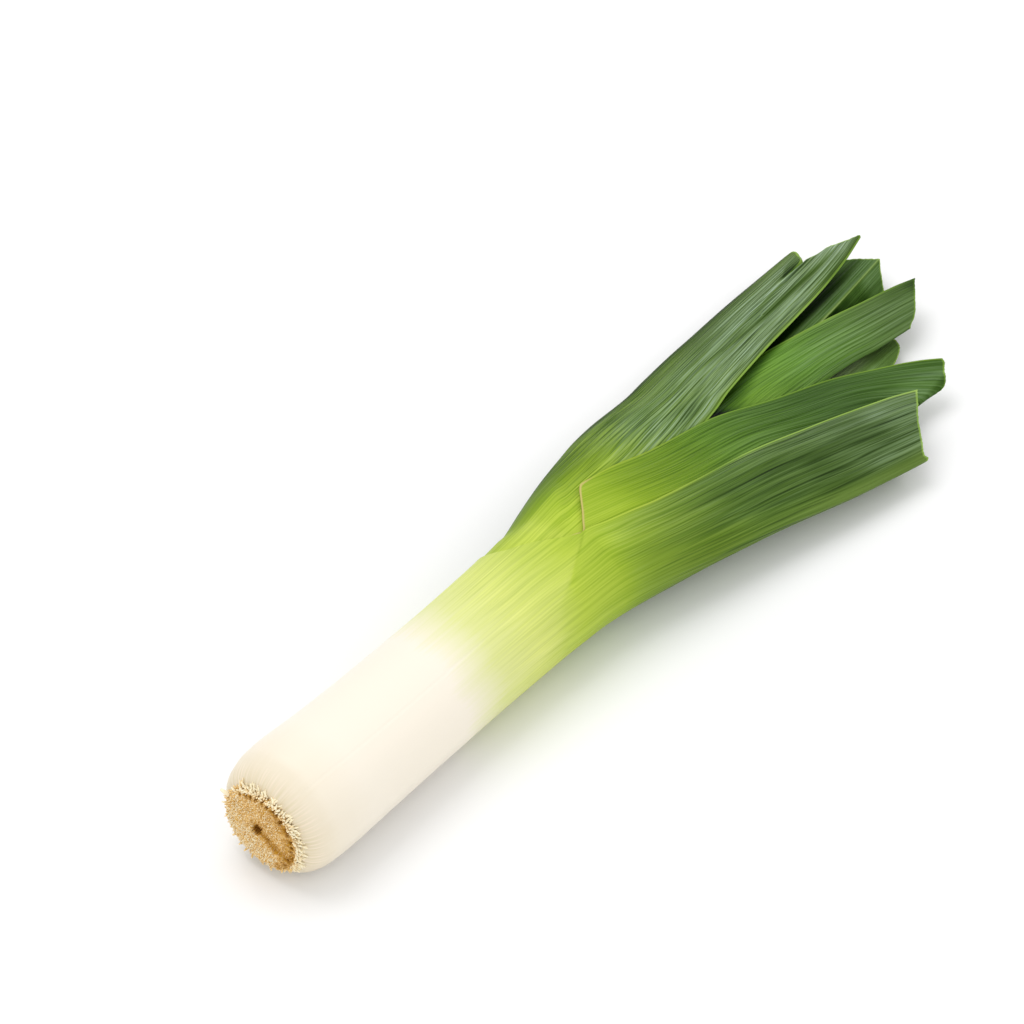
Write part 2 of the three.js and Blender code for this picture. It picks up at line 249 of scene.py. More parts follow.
THIRD = SimpleNamespace(
    rank=2,
    side=1,
    vein_line=None,
    seed=2,
    half_width=31.0,
    rows=200,
    columns=110,
    start=125.0,
    keel=track(
        (142, 23.4), (150, 25.6), (163, 29.8), (180, 35), (197, 39.6), (211, 43), (225, 45), (246, 46.5),
        (262, 49), (288, 52.3), (330, 55.2), (384, 56.2),
    ),
    upper=track(
        (142, -8), (200, -3), (225, 3), (246.8, 9.1), (277.2, 16.3), (301.4, 20.8), (323.5, 23.5),
        (346.4, 26.5), (364.9, 29.9), (384.8, 35),
    ),
    lower=track((142, -6), (200, 0), (246, 16), (300, 29), (384, 42)),
    width=track((142, 24.5), (200, 28), (250, 27), (300, 25), (384, 20)),
    above=lambda x, y: lerp(1 - 0.3 * ease(200, 150, x), 2, second_cover(x, y)),
    below=lambda x, y: lerp(0.7 * ease(260, 200, x), 2, second_cover(x, y)),
    end=track(
        (-1, 360), (-0.4, 356), (0, 358), (0.02, 361.5), (0.06, 364.5), (0.15, 363.8), (0.24, 361.6),
        (0.34, 359.4), (0.4, 357.2), (0.425, 354), (0.434, 349), (0.44, 341), (0.446, 349), (0.452, 358.5),
        (0.507, 365.7), (0.675, 373.7), (0.886, 381.5), (0.965, 384), (1, 383.3),
    ),
)
FOURTH = SimpleNamespace(
    rank=3,
    side=-1,
    vein_line=None,
    seed=3,
    half_width=24.0,
    rows=150,
    columns=75,
    start=FAN_X,
    keel=track(
        (206, -13), (250, -6), (285, -2), (307, -1.9), (323, -3.3), (337, -6), (356, -8.4), (378, -12),
    ),
    upper=track(
        (206, 17), (250, 22.5), (278.6, 23.5), (308.6, 20.3), (331.9, 16.3), (349.7, 12.1), (367.6, 8),
        (378, 4.6),
    ),
    lower=track((206, 6), (250, 8), (300, 14), (378, 2)),
    width=track((206, 17), (250, 13), (300, 11), (378, 10)),
    above=lambda x, y: 3,
    below=lambda x, y: 4.8,
    end=track(
        (-1, 344), (-0.4, 348), (-0.06, 353.5), (0, 355.6), (0.03, 356.6), (0.1, 359.7), (0.39, 366.4),
        (1, 377.5),
    ),
)


def right_margin(x):
    """How far the upper halves of the two right-hand leaves reach."""
    return np.maximum(OUTER.upper(x), SECOND.upper(x))


def second_cover(x, y):
    """How far a point of the third leaf lies under the leaves on its right: 1 is fully covered."""
    margin = np.maximum(right_margin(x), SECOND.lower(x))
    return ease(margin + 12, margin + 5, y)


def keel_line(leaf, x):
    return leaf.keel(x) + neck_shift(np.minimum(x, NECK_X), leaf.side)


def upper_half_y(leaf, x, shares):
    return lerp(keel_line(leaf, x), leaf.upper(x), shares)


def leaf_height(leaf, x, y, way, inset=0.0, thickness=0.0):
    """Height of a folded leaf over the middle of the leek, in its upper half (way 1) or its lower (-1)."""
    power = fold_power(x)
    near = fold(leaf.side * (keel_line(leaf, x) - y) - inset, leaf.width(x), power)
    other = THIRD if leaf.side < 0 else SECOND
    layers = leaf.above(x, y) if way > 0 else leaf.below(x, y)
    reach = leaf.side * (y - other.keel(x)) + (other.rank - leaf.rank) * KEEL_THICKNESS - inset
    far = fold(reach, other.width(x), power)
    return way * (half_height(x) - layers * LAYER_STEP - thickness) * near * far


def even_shares(leaf, places, steps):
    """Shares from keel to margin that lie evenly along the leaf's section, and the widths of its halves."""
    dense = np.linspace(0, 1, 500) ** 2
    shares = np.empty((len(places), len(steps)))
    widths = np.empty((len(places), 2))
    for row, x in enumerate(places):
        for half, (way, margin) in enumerate(((1, leaf.upper), (-1, leaf.lower))):
            y = lerp(keel_line(leaf, x), margin(x), dense)
            z = leaf_height(leaf, x, y, way)
            run = np.concatenate([[0], np.cumsum(np.hypot(np.diff(y), np.diff(z)))])
            widths[row, half] = run[-1]
            mine = steps * way >= 0
            shares[row, mine] = way * np.interp(np.abs(steps[mine]), run / run[-1], dense)
    return shares, widths


def leaf_face(leaf, x, shares, inset=0.0, thickness=0.0):
    """Points of one face of a folded leaf at X and at shares from -1 to 1."""
    keel = keel_line(leaf, x) - leaf.side * inset
    margin = np.where(shares < 0, leaf.lower(x), leaf.upper(x))
    y = lerp(keel, margin, np.abs(shares))
    up = leaf_height(leaf, x, y, 1, inset, thickness)
    down = leaf_height(leaf, x, y, -1, inset, thickness)
    return np.stack([x, y, middle_height(x) + np.where(shares < 0, down, up)], -1)


def unit(vectors):
    return vectors / np.maximum(np.linalg.norm(vectors, axis=-1, keepdims=True), 1e-9)


def face_normals(grid):
    along = np.gradient(grid, axis=0)
    across = np.gradient(grid, axis=1)
    return unit(np.cross(along, across))


# ---- Building meshes ----


class PieceMaker:
    """Collects the points, faces and leaf coordinates of one closed piece."""

    def __init__(self):
        self.points = []
        self.coords = []
        self.marks = []
        self.faces = []
        self.count = 0

    def add(self, points, coords, marks=0.0):
        """Adds an array of points and gives back their numbers in the same shape."""
        shape = points.shape[:-1]
        self.points.append(np.reshape(points, (-1, 3)))
        self.coords.append(np.reshape(np.broadcast_to(coords, points.shape), (-1, 3)))
        self.marks.append(np.reshape(np.broadcast_to(marks, points.shape), (-1, 3)))
        first = self.count
        self.count += int(np.prod(shape))
        return np.arange(first, self.count).reshape(shape)

    def bridge(self, numbers, closed=False):
        """Quads between neighbouring rows and columns of a grid of point numbers."""
        if closed:
            numbers = np.concatenate([numbers, numbers[:, :1]], 1)
        quads = np.stack([numbers[:-1, :-1], numbers[:-1, 1:], numbers[1:, 1:], numbers[1:, :-1]], -1)
        self.faces += quads.reshape(-1, 4).tolist()

    def close(self, ring, centre, coords):
        """A fan from a ring of point numbers to one point in its middle."""
        hub = int(self.add(np.array([centre], float), coords)[0])
        self.faces += [[int(a), int(b), hub] for a, b in zip(ring, np.roll(ring, -1))]

    def piece(self, name, material, replaces=(), sharp=50):
        """Makes the object, with its shading, material and place in the frame."""
        points = (np.concatenate(self.points) + BUILD_SHIFT) * MM
        mesh = bpy.data.meshes.new(name)
        mesh.from_pydata(points.tolist(), [], self.faces)
        for name_of_layer, values in (("leaf_coords", self.coords), ("leaf_marks_and_painted_light", self.marks)):
            layer = mesh.attributes.new(name_of_layer, "FLOAT_VECTOR", "POINT")
            layer.data.foreach_set("vector", np.concatenate(values).astype(np.float32).ravel())
        tidy = bmesh.new()
        tidy.from_mesh(mesh)
        bmesh.ops.recalc_face_normals(tidy, faces=tidy.faces)
        tidy.to_mesh(mesh)
        tidy.free()
        mesh.polygons.foreach_set("use_smooth", [True] * len(mesh.polygons))
        mesh.set_sharp_from_angle(angle=math.radians(sharp))
        mesh.materials.append(material)
        leek_piece = bpy.data.objects.new(name, mesh)
        bpy.context.scene.collection.objects.link(leek_piece)
        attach(leek_piece, "root")
        if replaces:
            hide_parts(*replaces)
        return leek_piece


def rounded_rim(maker, outer, inner, outward, bulge=0.12):
    """Joins two loops of point numbers with a line of points between them that stands out a little."""
    points = np.concatenate(maker.points)
    between = (points[outer] + points[inner]) / 2 + outward * bulge
    middle = maker.add(between, np.concatenate(maker.coords)[outer], np.concatenate(maker.marks)[outer])
    maker.bridge(np.stack([outer, middle, inner]), closed=True)


def loop_round(grid):
    """What stands round a grid's border: up the last column, back over the last row, and home."""
    return np.concatenate([grid[:-1, -1], grid[-1, :0:-1], grid[:0:-1, 0], grid[0, :-1]])


def outward_directions(grid_points):
    """Unit directions out of a grid's border, in the order of loop_round."""
    inner = grid_points.copy()
    inner[:, -1], inner[:, 0] = grid_points[:, -2], grid_points[:, 1]
    inner[-1], inner[0] = grid_points[-2], grid_points[1]
    return loop_round(unit(grid_points - inner))


def closed_sheet(maker, outer, inner, coords, marks):
    """A leaf of two faces on the same grid, closed round its border by a rounded rim."""
    top = maker.add(outer, coords, marks)
    under = maker.add(inner, coords, marks)
    maker.bridge(top)
    maker.bridge(under)
    rounded_rim(maker, loop_round(top), loop_round(under), outward_directions(outer))


KEEL_TIP_X = 295  # where the outermost leaf's keel, at its cut end, reaches furthest out
BUILD_SHIFT = np.array([
    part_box("shank")[0].x / MM - SHOULDER_X,
    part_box("leaf_1")[0].y / MM - float(OUTER.keel(KEEL_TIP_X)),
    0.0,
])

# ---- The leaves and the shank ----


def outer_relief(x, across, edge, shares, depth):
    """Height of the ribs and soft waves on the outer leaf's blade, in millimetres."""
    drift = 1.4 * np.sin(x / 41) + 0.8 * np.sin(x / 17 + 2)
    ribs = ripples(3, 5, 2.6, 6.4)(across + 0.35 * drift)
    waves = 0.22 * ripples(5, 3, 17, 30)(across + x / 9)
    return (depth * ribs + waves) * ease(160, 205, x) * ease(0, 3, edge)


def second_relief(x, across, edge, shares, depth):
    ribs = ripples(13, 5, 2.4, 5.2)(across + 0.4 * np.sin(x / 33))
    waves = 0.12 * ripples(15, 3, 12, 24)(across + x / 12)
    dried_lip = 0.3 * bell(edge, 0.3, 0.45) * ease(156, 158, x) * ease(180, 178, x)
    return (0.6 * depth * ribs + waves) * ease(165, 200, x) * ease(0, 3, edge) + dried_lip


# Along the third leaf: the right-hand side of its flat ridge, which ends at the slit, the furrow beside it,
# and where the lobe on the left of the slit curls down.
slit_line = track((262, 0.53), (303, 0.517), (319, 0.492), (336, 0.475), (342, 0.45))
lobe_curl = track((341, 0.41), (346, 0.338), (351, 0.255), (356, 0.228), (361, 0.205))
trough_line = track((270, 0.53), (285, 0.56), (302, 0.6), (316, 0.645), (340, 0.65), (362, 0.70))


def third_relief(x, across, edge, shares, depth):
    """The left-hand leaf has a flat ridge that runs into the slit at its end, and a furrow beside it."""
    ribs = ripples(23, 5, 1.9, 4.4)(across + 0.4 * np.sin(x / 29))
    waves = 0.2 * ripples(25, 3, 13, 26)(across + x / 15)
    line, trough = slit_line(x), trough_line(x)
    ridge = 0.9 * ease(line - 0.2, line - 0.06, shares) * ease(line + 0.035, line - 0.015, shares)
    dip = 0.7 * ease(line - 0.015, line + 0.04, shares) * ease(line + 0.14, line + 0.05, shares)
    furrow = 1.1 * bell(shares, trough, 0.075) * ease(372, 350, x)
    crease = (ridge - dip - furrow) * ease(258, 325, x)
    return (0.7 * depth * ribs + waves) * ease(160, 195, x) * ease(0, 3, edge) + crease


def fourth_relief(x, across, edge, shares, depth):
    ribs = ripples(33, 5, 2.0, 4.6)(across + 0.3 * np.sin(x / 31))
    return 0.5 * depth * ribs * ease(0, 3, edge)


# Marks on a leaf: how waxy it is, how much it is painted lighter or darker, which holds painted shade and
# painted highlights, and its tint, yellow-green above 0 and dried below. x is the place along it, edge the
# distance to its margin and shares the way from its keel.

wide_stripe = track((205, 0.46), (242, 0.45), (290, 0.36), (315, 0.34))


def outer_marks(x, edge, shares):
    """The outermost leaf is waxy in its far half, and yellow-green along its keel, with a painted sheen near
    the base of its blade.
    """
    wax = ease(172, 225, x) * ease(0.06, 0.24, shares) + 0.4 * span(x, BLADE_X, 166, 172, 200)
    wax = wax * ease(0.6, 2.5, edge)
    middle = (
        -0.32 * span(x, 180, 222, 246, 272) * bell(shares, 0.4, 0.42) * ease(0.05, 0.14, shares)
        - 0.15 * bell(x, 240, 10) * bell(shares, 0.68, 0.12)
        + 0.2 * bell(x, 290, 7) * span(shares, 0.58, 0.66, 0.86, 0.92)
        - 0.24 * span(x, 244, 258, 284, 298) * bell(shares, 0.48, 0.3)
    )
    stripes = (
        0.12 * bell(shares, wide_stripe(x), 0.05)
        + 0.14 * bell(shares, 0.73, 0.06) * ease(225, 245, x)
        - 0.1 * bell(shares, wide_stripe(x) + 0.13, 0.06) * ease(296, 285, x)
    )
    light = (
        middle
        + stripes * ease(205, 228, x)
        # A lighter patch near the base of the blade: a painted glossy sheen.
        + 0.13 * bell(x, 163, 6) * bell(shares, 0.62, 0.16)
        - 0.2 * ease(0.5, 0.3, shares) * span(x, 150, 172, 192, 215)
        + 0.28 * bell(shares, 0.15, 0.08) * ease(258, 276, x)
        + 0.16 * ease(285, 305, x)
        + 0.32 * ease(0.87, 0.93, shares) * ease(222, 242, x)
        + 0.12 * bell(shares, 0.02, 0.03) * ease(200, 230, x)
    )
    keel = 0.4 * ease(0.13, 0.03, shares) * ease(205, 262, x)
    corner = 0.4 * bell(shares, 1, 0.06) * ease(306, 314, x)
    return np.stack([wax * (1 + middle), light, keel + corner], -1)


def second_marks(x, edge, shares):
    """The second leaf is waxy far out, dry along the lip at its base, and shaded by the outermost leaf."""
    wax = 0.75 * ease(205, 262, x) * ease(0.3, 2.5, edge)
    wax = wax * lerp(1, ease(228, 262, x), ease(0.6, 0.8, shares))
    dried = ease(1.0, 0.55, edge) * span(x, 156.4, 157.6, 178.6, 188)
    to_outer = upper_half_y(SECOND, x, shares) - OUTER.upper(x)
    light = (
        0.3 * ease(306, 322, x) * ease(0.55, 0.38, shares)
        - 0.14 * span(x, 225, 275, 296, 320)
        - 0.15 * span(x, 174, 192, 222, 240)
        - 0.55 * ease(2.0, 0.1, to_outer) * lerp(0.45, 1, ease(158, 240, x)) * ease(156, 160, x)
    )
    return np.stack([wax, light * (shares > 0), -dried * (shares > 0)], -1)


def third_marks(x, edge, shares):
    """The left-hand leaf is waxy in the middle, with a pale band of wax and painted highlight and a dark
    trough of painted shade that run to its slit, and painted shade where its neighbours and its curled
    lobe shade it.
    """
    line, trough, far = slit_line(x), trough_line(x), ease(296, 316, x)
    bare = lerp(0.12, 0.07, ease(275, 305, x))
    wax = ease(187, 236, x) * ease(bare, 3 * bare + 0.14, shares) * ease(0.4, 3.2, edge)
    band_start = line - lerp(0.1, 0.05, ease(322, 336, x))
    # The pale band along the ridge is wax with a painted highlight.
    band = span(shares, band_start, line - 0.04, line - 0.012, line + 0.012) * span(x, 266, 312, 333, 340)
    # The trough is painted darker, as shade in its furrow, and carries less wax.
    dark = bell(shares, trough, 0.045) * span(x, 262, 300, 354, 376)
    flap = bell(x, 338.6, 2.0) * bell(shares, 0.442, 0.016)
    lobe_rim = ease(1.5, 0.5, THIRD.end(shares) - x) * (shares < 0.43) * (shares > 0) * ease(351, 356, x)
    # Painted shade where the lobe on the left of the slit curls down.
    curl = 0.52 * ease(lobe_curl(x) - 0.01, lobe_curl(x) + 0.04, shares) * (1 - lobe_rim)
    curl = curl + 0.34 * bell(shares, 0.415, 0.035) * ease(356, 348, x)
    curl = curl * (shares < 0.441) * ease(339, 344, x)
    to_right = upper_half_y(THIRD, x, shares) - right_margin(x)
    # Painted shade, mostly along the left edge, under the right-hand leaves' margins, on the hidden lower
    # half, in the trough and under the curled lobe.
    shade = (
        0.4 * ease(0.42, 0.1, shares) * span(x, 138, 152, 192, 212)
        + 0.3 * ease(0.17, 0.03, shares) * span(x, 200, 215, 335, 352)
        + 0.16 * bell(shares, 0.37, 0.09) * span(x, 218, 235, 285, 298)
        + 0.22 * ease(0.12, 0.03, shares)
        + 0.12 * ease(0.4, 0.2, shares) * ease(196, 184, x)
        + 0.2 * ease(0.8, 0.9, shares) * ease(345, 358, x)
        + 0.1 * bell(shares, 0.45, 0.08) * span(x, 215, 228, 232, 242)
        + 0.25 * bell(shares, line + 0.025, 0.02) * span(x, 300, 326, 330, 338)
        + 0.42 * ease(2.2, 0.2, to_right) * ease(180, 190, x) * (shares > 0)
        + 0.65 * ease(290, 320, x) * (shares < -0.02)
        + lerp(0.2, 0.7, ease(304, 322, x)) * dark
        + curl
    )
    # Painted highlights and lighter patches, with the pale flap at the slit.
    highlights_and_pale_flap = (
        lerp(0.2, 0.08, ease(212, 236, x)) * ease(0.42, 0.58, shares) * ease(150, 165, x)
        + 0.12 * ease(0.64, 0.8, shares) * span(x, 240, 285, 335, 350)
        + 0.15 * bell(shares, 0.45, 0.05) * span(x, 256, 266, 286, 300)
        + 0.2 * bell(shares, 0.28, 0.12) * span(x, 290, 306, 335, 345)
        + 0.2 * bell(shares, 0.555, 0.04) * span(x, 314, 328, 344, 352)
        + 0.216 * bell(shares, trough - 0.11, 0.05) * ease(325, 345, x)
        + 0.25 * span(shares, 0.02, 0.1, 0.25, 0.34) * ease(328, 345, x)
        + 0.2 * bell(shares, 0.48, 0.035) * ease(337, 345, x)
        + 0.2 * bell(shares, 0.7, 0.1) * ease(345, 362, x)
        + 0.18 * span(shares, 0.16, 0.4, 0.42, 0.5) * ease(350, 360, x)
        + 0.25 * span(shares, 0.56, 0.66, 0.86, 0.93) * ease(366, 374, x)
        + 0.25 * band * far
        + 0.6 * flap
    )
    wax = np.clip(wax + lerp(0.6, 1.15, far) * band - 0.5 * dark - lobe_rim, 0, 3)
    return np.stack([wax, highlights_and_pale_flap - shade, 0.7 * lobe_rim + 0.6 * flap], -1)


def fourth_marks(x, edge, shares):
    """The fourth leaf is waxy far out, and dark where its neighbours shade it."""
    wax = 0.8 * ease(258, 322, x) * ease(0.4, 2.5, edge) * lerp(1, 0.45, ease(0.5, 0.8, shares))
    light = 0.1 * ease(0.55, 0.95, shares) * ease(352, 326, x) - 0.06
    light = light - 0.2 * ease(0.4, 0.8, shares) * ease(350, 364, x) - 0.35 * ease(366, 375, x)
    y = upper_half_y(FOURTH, x, shares)
    reach = lerp(7.0, 2.8, ease(258, 300, x))
    shadow = 0.55 * ease(reach, 0.2, y - right_margin(x)) + 0.72 * ease(reach + 1.4, 0.5, THIRD.upper(x) - y)
    return np.stack([wax, light - shadow * (shares > -0.2), 0.15 * ease(0.9, 1, shares)], -1)


OUTER.relief, OUTER.marks = outer_relief, outer_marks
SECOND.relief, SECOND.marks = second_relief, second_marks
THIRD.relief, THIRD.marks = third_relief, third_marks
FOURTH.relief, FOURTH.marks = fourth_relief, fourth_marks


def ragged(seed, across, amount):
    """The small unevenness of a cut end, by the place across it."""
    return amount * (ripples(seed, 5, 1.1, 3.5)(across) + 0.8 * ripples(seed + 1, 4, 4, 12)(across))


def blade_body(sizes, edge):
    """How thick a blade is: it thins towards its margins."""
    return sizes.blade_thickness / MM * lerp(0.45, 1, ease(0, 4, edge))


def blade_grids(leaf, sizes, keel_tip=0.0):
    """The two faces of a folded leaf, its leaf coordinates and its marks, from its lower margin up."""
    steps = np.linspace(-1, 1, 2 * leaf.columns + 1)
    way_along = np.linspace(0, 1, leaf.rows)
    places = lerp(leaf.start, float(leaf.end(0.5)), way_along)
    shares, widths = even_shares(leaf, places, steps)
    across = np.broadcast_to(steps * leaf.half_width, shares.shape)
    ends = leaf.end(shares) + ragged(leaf.seed, across, 0.07)
    if keel_tip:
        ends = ends + keel_tip * bell(shares, 0.008, 0.022)
    x = lerp(leaf.start, ends, way_along[:, None])
    width = np.where(steps < 0, widths[:, 1:], widths[:, :1])
    edge = (1 - np.abs(steps)) * width
    if leaf.vein_line:
        cut_off = leaf.vein_line(x) - leaf.upper(x)
        across = np.where(steps < 0, across, leaf.half_width - (1 - steps) * widths[:, :1] - cut_off)
    outer = leaf_face(leaf, x, shares)
    inner = leaf_face(leaf, x, shares, KEEL_THICKNESS, blade_body(sizes, edge))
    height = leaf.relief(x, across, edge, shares, sizes.rib_depth / MM)
    outer = outer - leaf.side * face_normals(outer) * height[..., None]
    coords = np.stack([x, across + SEED_STEP * leaf.seed, np.minimum(edge, ends - x)], -1)
    return outer, inner, coords, leaf.marks(x, edge, shares)


def build_folded_leaf(name, node, leaf, sizes, material, lift=None):
    maker = PieceMaker()
    outer, inner, coords, marks = blade_grids(leaf, sizes)
    if lift:
        move = lift(outer)
        outer, inner = outer + move, inner + move
    closed_sheet(maker, outer, inner, coords, marks)
    return maker.piece(name, material, (node,))


def third_neck_lift(outer):
    """Brings the base of the third leaf up under the sheath that it comes out of."""
    x, y = outer[..., 0], outer[..., 1]
    radius = shank_radius(x) - 0.6
    reach = np.clip((y - sideways(x)) / (radius + neck_spread(x)), -1, 1)
    upper = outer[..., 2] > middle_height(x)
    skin = AXIS_HEIGHT + radius * np.sqrt(1 - reach**2)
    rise = np.where(upper & (reach < 0.999), np.clip(skin - outer[..., 2], 0, 1.6), 0)
    move = np.zeros_like(outer)
    move[..., 2] = rise * ease(162, 141, x) * ease(-9, -4, y)
    return move


def pleats(x, angle, count, depth):
    """Fine pleats round the shoulder where the sheaths are drawn in to the root plate."""
    wobble = 0.5 * np.sin(3 * angle + 1) + 0.4 * np.sin(7 * angle) + 0.3 * np.sin(13 * angle + 2)
    fine = 0.45 * np.sin(count * (angle + 0.03 * wobble)) + 0.4 * np.sin(round(0.61 * count) * angle + 2)
    fine = fine + 0.35 * np.sin(round(1.47 * count) * (angle + 0.02 * wobble) + 1)
    reach = 4.6 + 1.1 * np.sin(5 * angle + 0.5) + 1.2 * np.sin(11 * angle) + 1.3 * np.sin(23 * angle + 1)
    return depth * fine * ease(reach, 2.8, x) * lerp(0.5, 1, ease(-0.3, 0.4, ripples(61, 5, 0.3, 0.9)(angle)))


def neck_offset(x, step):
    """How far the outer leaf's section has moved from the round shank to its folded form, at one margin."""
    places = np.linspace(118, BLADE_X, 40)
    shares, _ = even_shares(OUTER, places, np.array([step]))
    blade = leaf_face(OUTER, places[:, None], shares)[:, 0]
    offset = (blade - shank_point(places, step * JOIN_ANGLE)) * ease(CUP_X, BLADE_X, places)[:, None]
    return np.stack([np.interp(x, places, offset[:, axis]) for axis in range(3)], -1)


def tube_surface(x, angles, blade_columns, inset=0.0, keel_inset=0.0):
    """The shank's skin, changing near the neck into the folded section of the outer leaf's blade."""
    points = shank_point(x, angles, inset)
    by_blade, beyond = x[:, :blade_columns], angles[blade_columns:]
    shares, _ = even_shares(OUTER, x[:, 0], angles[:blade_columns] / JOIN_ANGLE)
    thickness = inset[:, :blade_columns] if keel_inset else 0.0
    blade = leaf_face(OUTER, by_blade, shares, keel_inset, thickness)
    mix = ease(CUP_X, BLADE_X, by_blade)[..., None]
    points[:, :blade_columns] = lerp(points[:, :blade_columns], blade, mix)
    for step, distance in ((1, beyond - JOIN_ANGLE), (-1, 2 * math.pi - JOIN_ANGLE - beyond)):
        fade = ease(math.radians(50), 0, distance)
        points[:, blade_columns:] += neck_offset(x[:, blade_columns:], step) * fade[None, :, None]
    return points


def crease_jump(x, from_keel):
    """How much further along the leek the skin looks, by its colour, beyond the crease under the blade."""
    return (
        14 - 9 * ease(60, 74, from_keel) * ease(185, 156, x) - 3 * bell(from_keel, 38, 10) * ease(185, 150, x)
    )


def skin_length(x, from_keel, crease):
    """The place along the leek that the skin takes its colour from. It jumps ahead at the crease."""
    soften = lerp(12, 1.2, ease(22, 56, from_keel))
    beyond = ease(-soften, soften, crease + 1.0) * (from_keel < 78)
    length = x + crease_jump(x, from_keel) * beyond * ease(110, 130, x)
    length = length + 7 * (1 - beyond) * span(from_keel, 62, 76, 80, 92) * ease(132, 150, x)
    return length - 5 * (1 - beyond) * bell(from_keel, 52, 14) * bell(x, 138, 14)


def skin_marks(x, angles, from_keel, crease, creased, to_mouth):
    """The skin has painted shade in its crease, is dry at its lip, and has tan streaks and fibres at the
    shoulder.
    """
    degrees, on_top = np.degrees(angles), np.sin(angles) > 0
    light = (
        # Painted shade in the crease under the blade, and darker along the top near the keel.
        -0.2 * bell(crease, -0.6, 0.6) * creased * ease(60, 70, from_keel)
        - 0.2 * ease(39, 23.4, from_keel) * ease(150, 172, x) * on_top
        + 0.1 * np.clip(ripples(71, 6, 2.2, 6)(degrees), 0, 1) * ease(9, 4, x)
    )
    dried_lip = ease(1.3, 0.5, to_mouth) * ease(84, 80, from_keel) * on_top
    streaks = np.clip(0.35 + 0.6 * ripples(51, 6, 3, 8)(degrees), 0, 1)
    return np.stack([0 * x, light, -dried_lip - 0.24 * ease(7, 3, x) * streaks], -1)


def build_outer_leaf(sizes, material):
    """The shank's outer sheath and, in one piece with it, the blade of the outermost leaf."""
    maker = PieceMaker()
    steps = np.linspace(-1, 1, 2 * OUTER.columns + 1)
    count = len(steps)
    beyond = np.linspace(JOIN_ANGLE, 2 * math.pi - JOIN_ANGLE, 242)[1:-1]
    angles = np.concatenate([steps * JOIN_ANGLE, beyond])
    from_keel = np.degrees(np.abs((angles + math.pi) % (2 * math.pi) - math.pi))
    has_blade = np.arange(len(angles)) < count
    limit = np.where(has_blade, BLADE_X, sheath_mouth(from_keel))
    shoulder = SHOULDER_X + (24 - SHOULDER_X) * np.linspace(0, 1, 24) ** 1.6
    rings = np.concatenate([shoulder, np.linspace(24, CUP_X, 14)[1:]])
    x = np.concatenate([
        np.repeat(rings[:, None], len(angles), 1),
        lerp(CUP_X, limit[None, :], np.linspace(0, 1, 26)[1:, None]),
    ])
    round_back = (beyond - math.pi) / (math.pi - JOIN_ANGLE) * 1.3 + 2.4
    across = np.concatenate([steps, round_back]) * OUTER.half_width
    to_mouth = np.where(has_blade, 20.0, limit - x)

    skin = tube_surface(x, angles, count)
    centre = np.stack([x, sideways(x), np.full_like(x, AXIS_HEIGHT)], -1)
    crease = x - blade_crease(np.minimum(from_keel, 76))
    creased = (np.sin(angles) > 0) * span(from_keel, 36, 50, 76, 84)
    relief = pleats(x, angles, sizes.pleat_count, sizes.pleat_depth / MM)
    relief = relief - 0.4 * bell(crease, -0.6, 1.7) * creased
    skin = skin + unit(skin - centre) * relief[..., None]
    skin[..., 2] = np.maximum(skin[..., 2], 0.0)
    to_edge = np.maximum(to_mouth, np.where(from_keel > 86, 5.0, 0.0))
    coords = np.stack([skin_length(x, from_keel, crease), np.broadcast_to(across, x.shape), to_edge], -1)
    marks = skin_marks(x, angles, from_keel, crease, creased, to_mouth)
    outer_tube = maker.add(skin, coords, marks)
    maker.bridge(outer_tube, closed=True)
    maker.close(outer_tube[0], (SHOULDER_X, 0, AXIS_HEIGHT), coords[0, 0])

    wall = sizes.blade_thickness / MM * lerp(0.35, 0.65, ease(0, 7, to_mouth))
    cup = slice(len(rings) - 1, None)
    lining = tube_surface(x[cup], angles, count, wall[cup], KEEL_THICKNESS)
    inner_tube = maker.add(lining, coords[cup], marks[cup])
    maker.bridge(inner_tube, closed=True)
    maker.close(inner_tube[0], (CUP_X, float(sideways(CUP_X)), AXIS_HEIGHT), coords[0, 0])

    outer, inner, blade_coords, blade_marks = blade_grids(OUTER, sizes, keel_tip=1.3)
    blade_coords[..., 0] += crease_jump(outer[..., 0], np.degrees(np.abs(steps) * JOIN_ANGLE))
    curl = bell(steps, 0.0, 0.05) * ease(292, 297.5, outer[..., 0])
    blade_part = 2 * (OUTER.rows - 1 + OUTER.columns)
    loops = []
    for face, tube in ((outer, outer_tube), (inner, inner_tube)):
        face += np.stack([0 * curl, -curl, 0.9 * curl], -1)
        grid = np.concatenate([tube[-1:, :count], maker.add(face[1:], blade_coords[1:], blade_marks[1:])])
        maker.bridge(grid)
        loops.append(np.concatenate([loop_round(grid)[:blade_part + 1], tube[-1, count:][::-1]]))
    at_mouth = np.tile([1.0, 0, 0], (len(beyond) + 1, 1))
    rounded_rim(maker, *loops, np.concatenate([outward_directions(outer)[:blade_part], at_mouth]))
    return maker.piece("outer_leaf", material, ("shank", "leaf_1"))


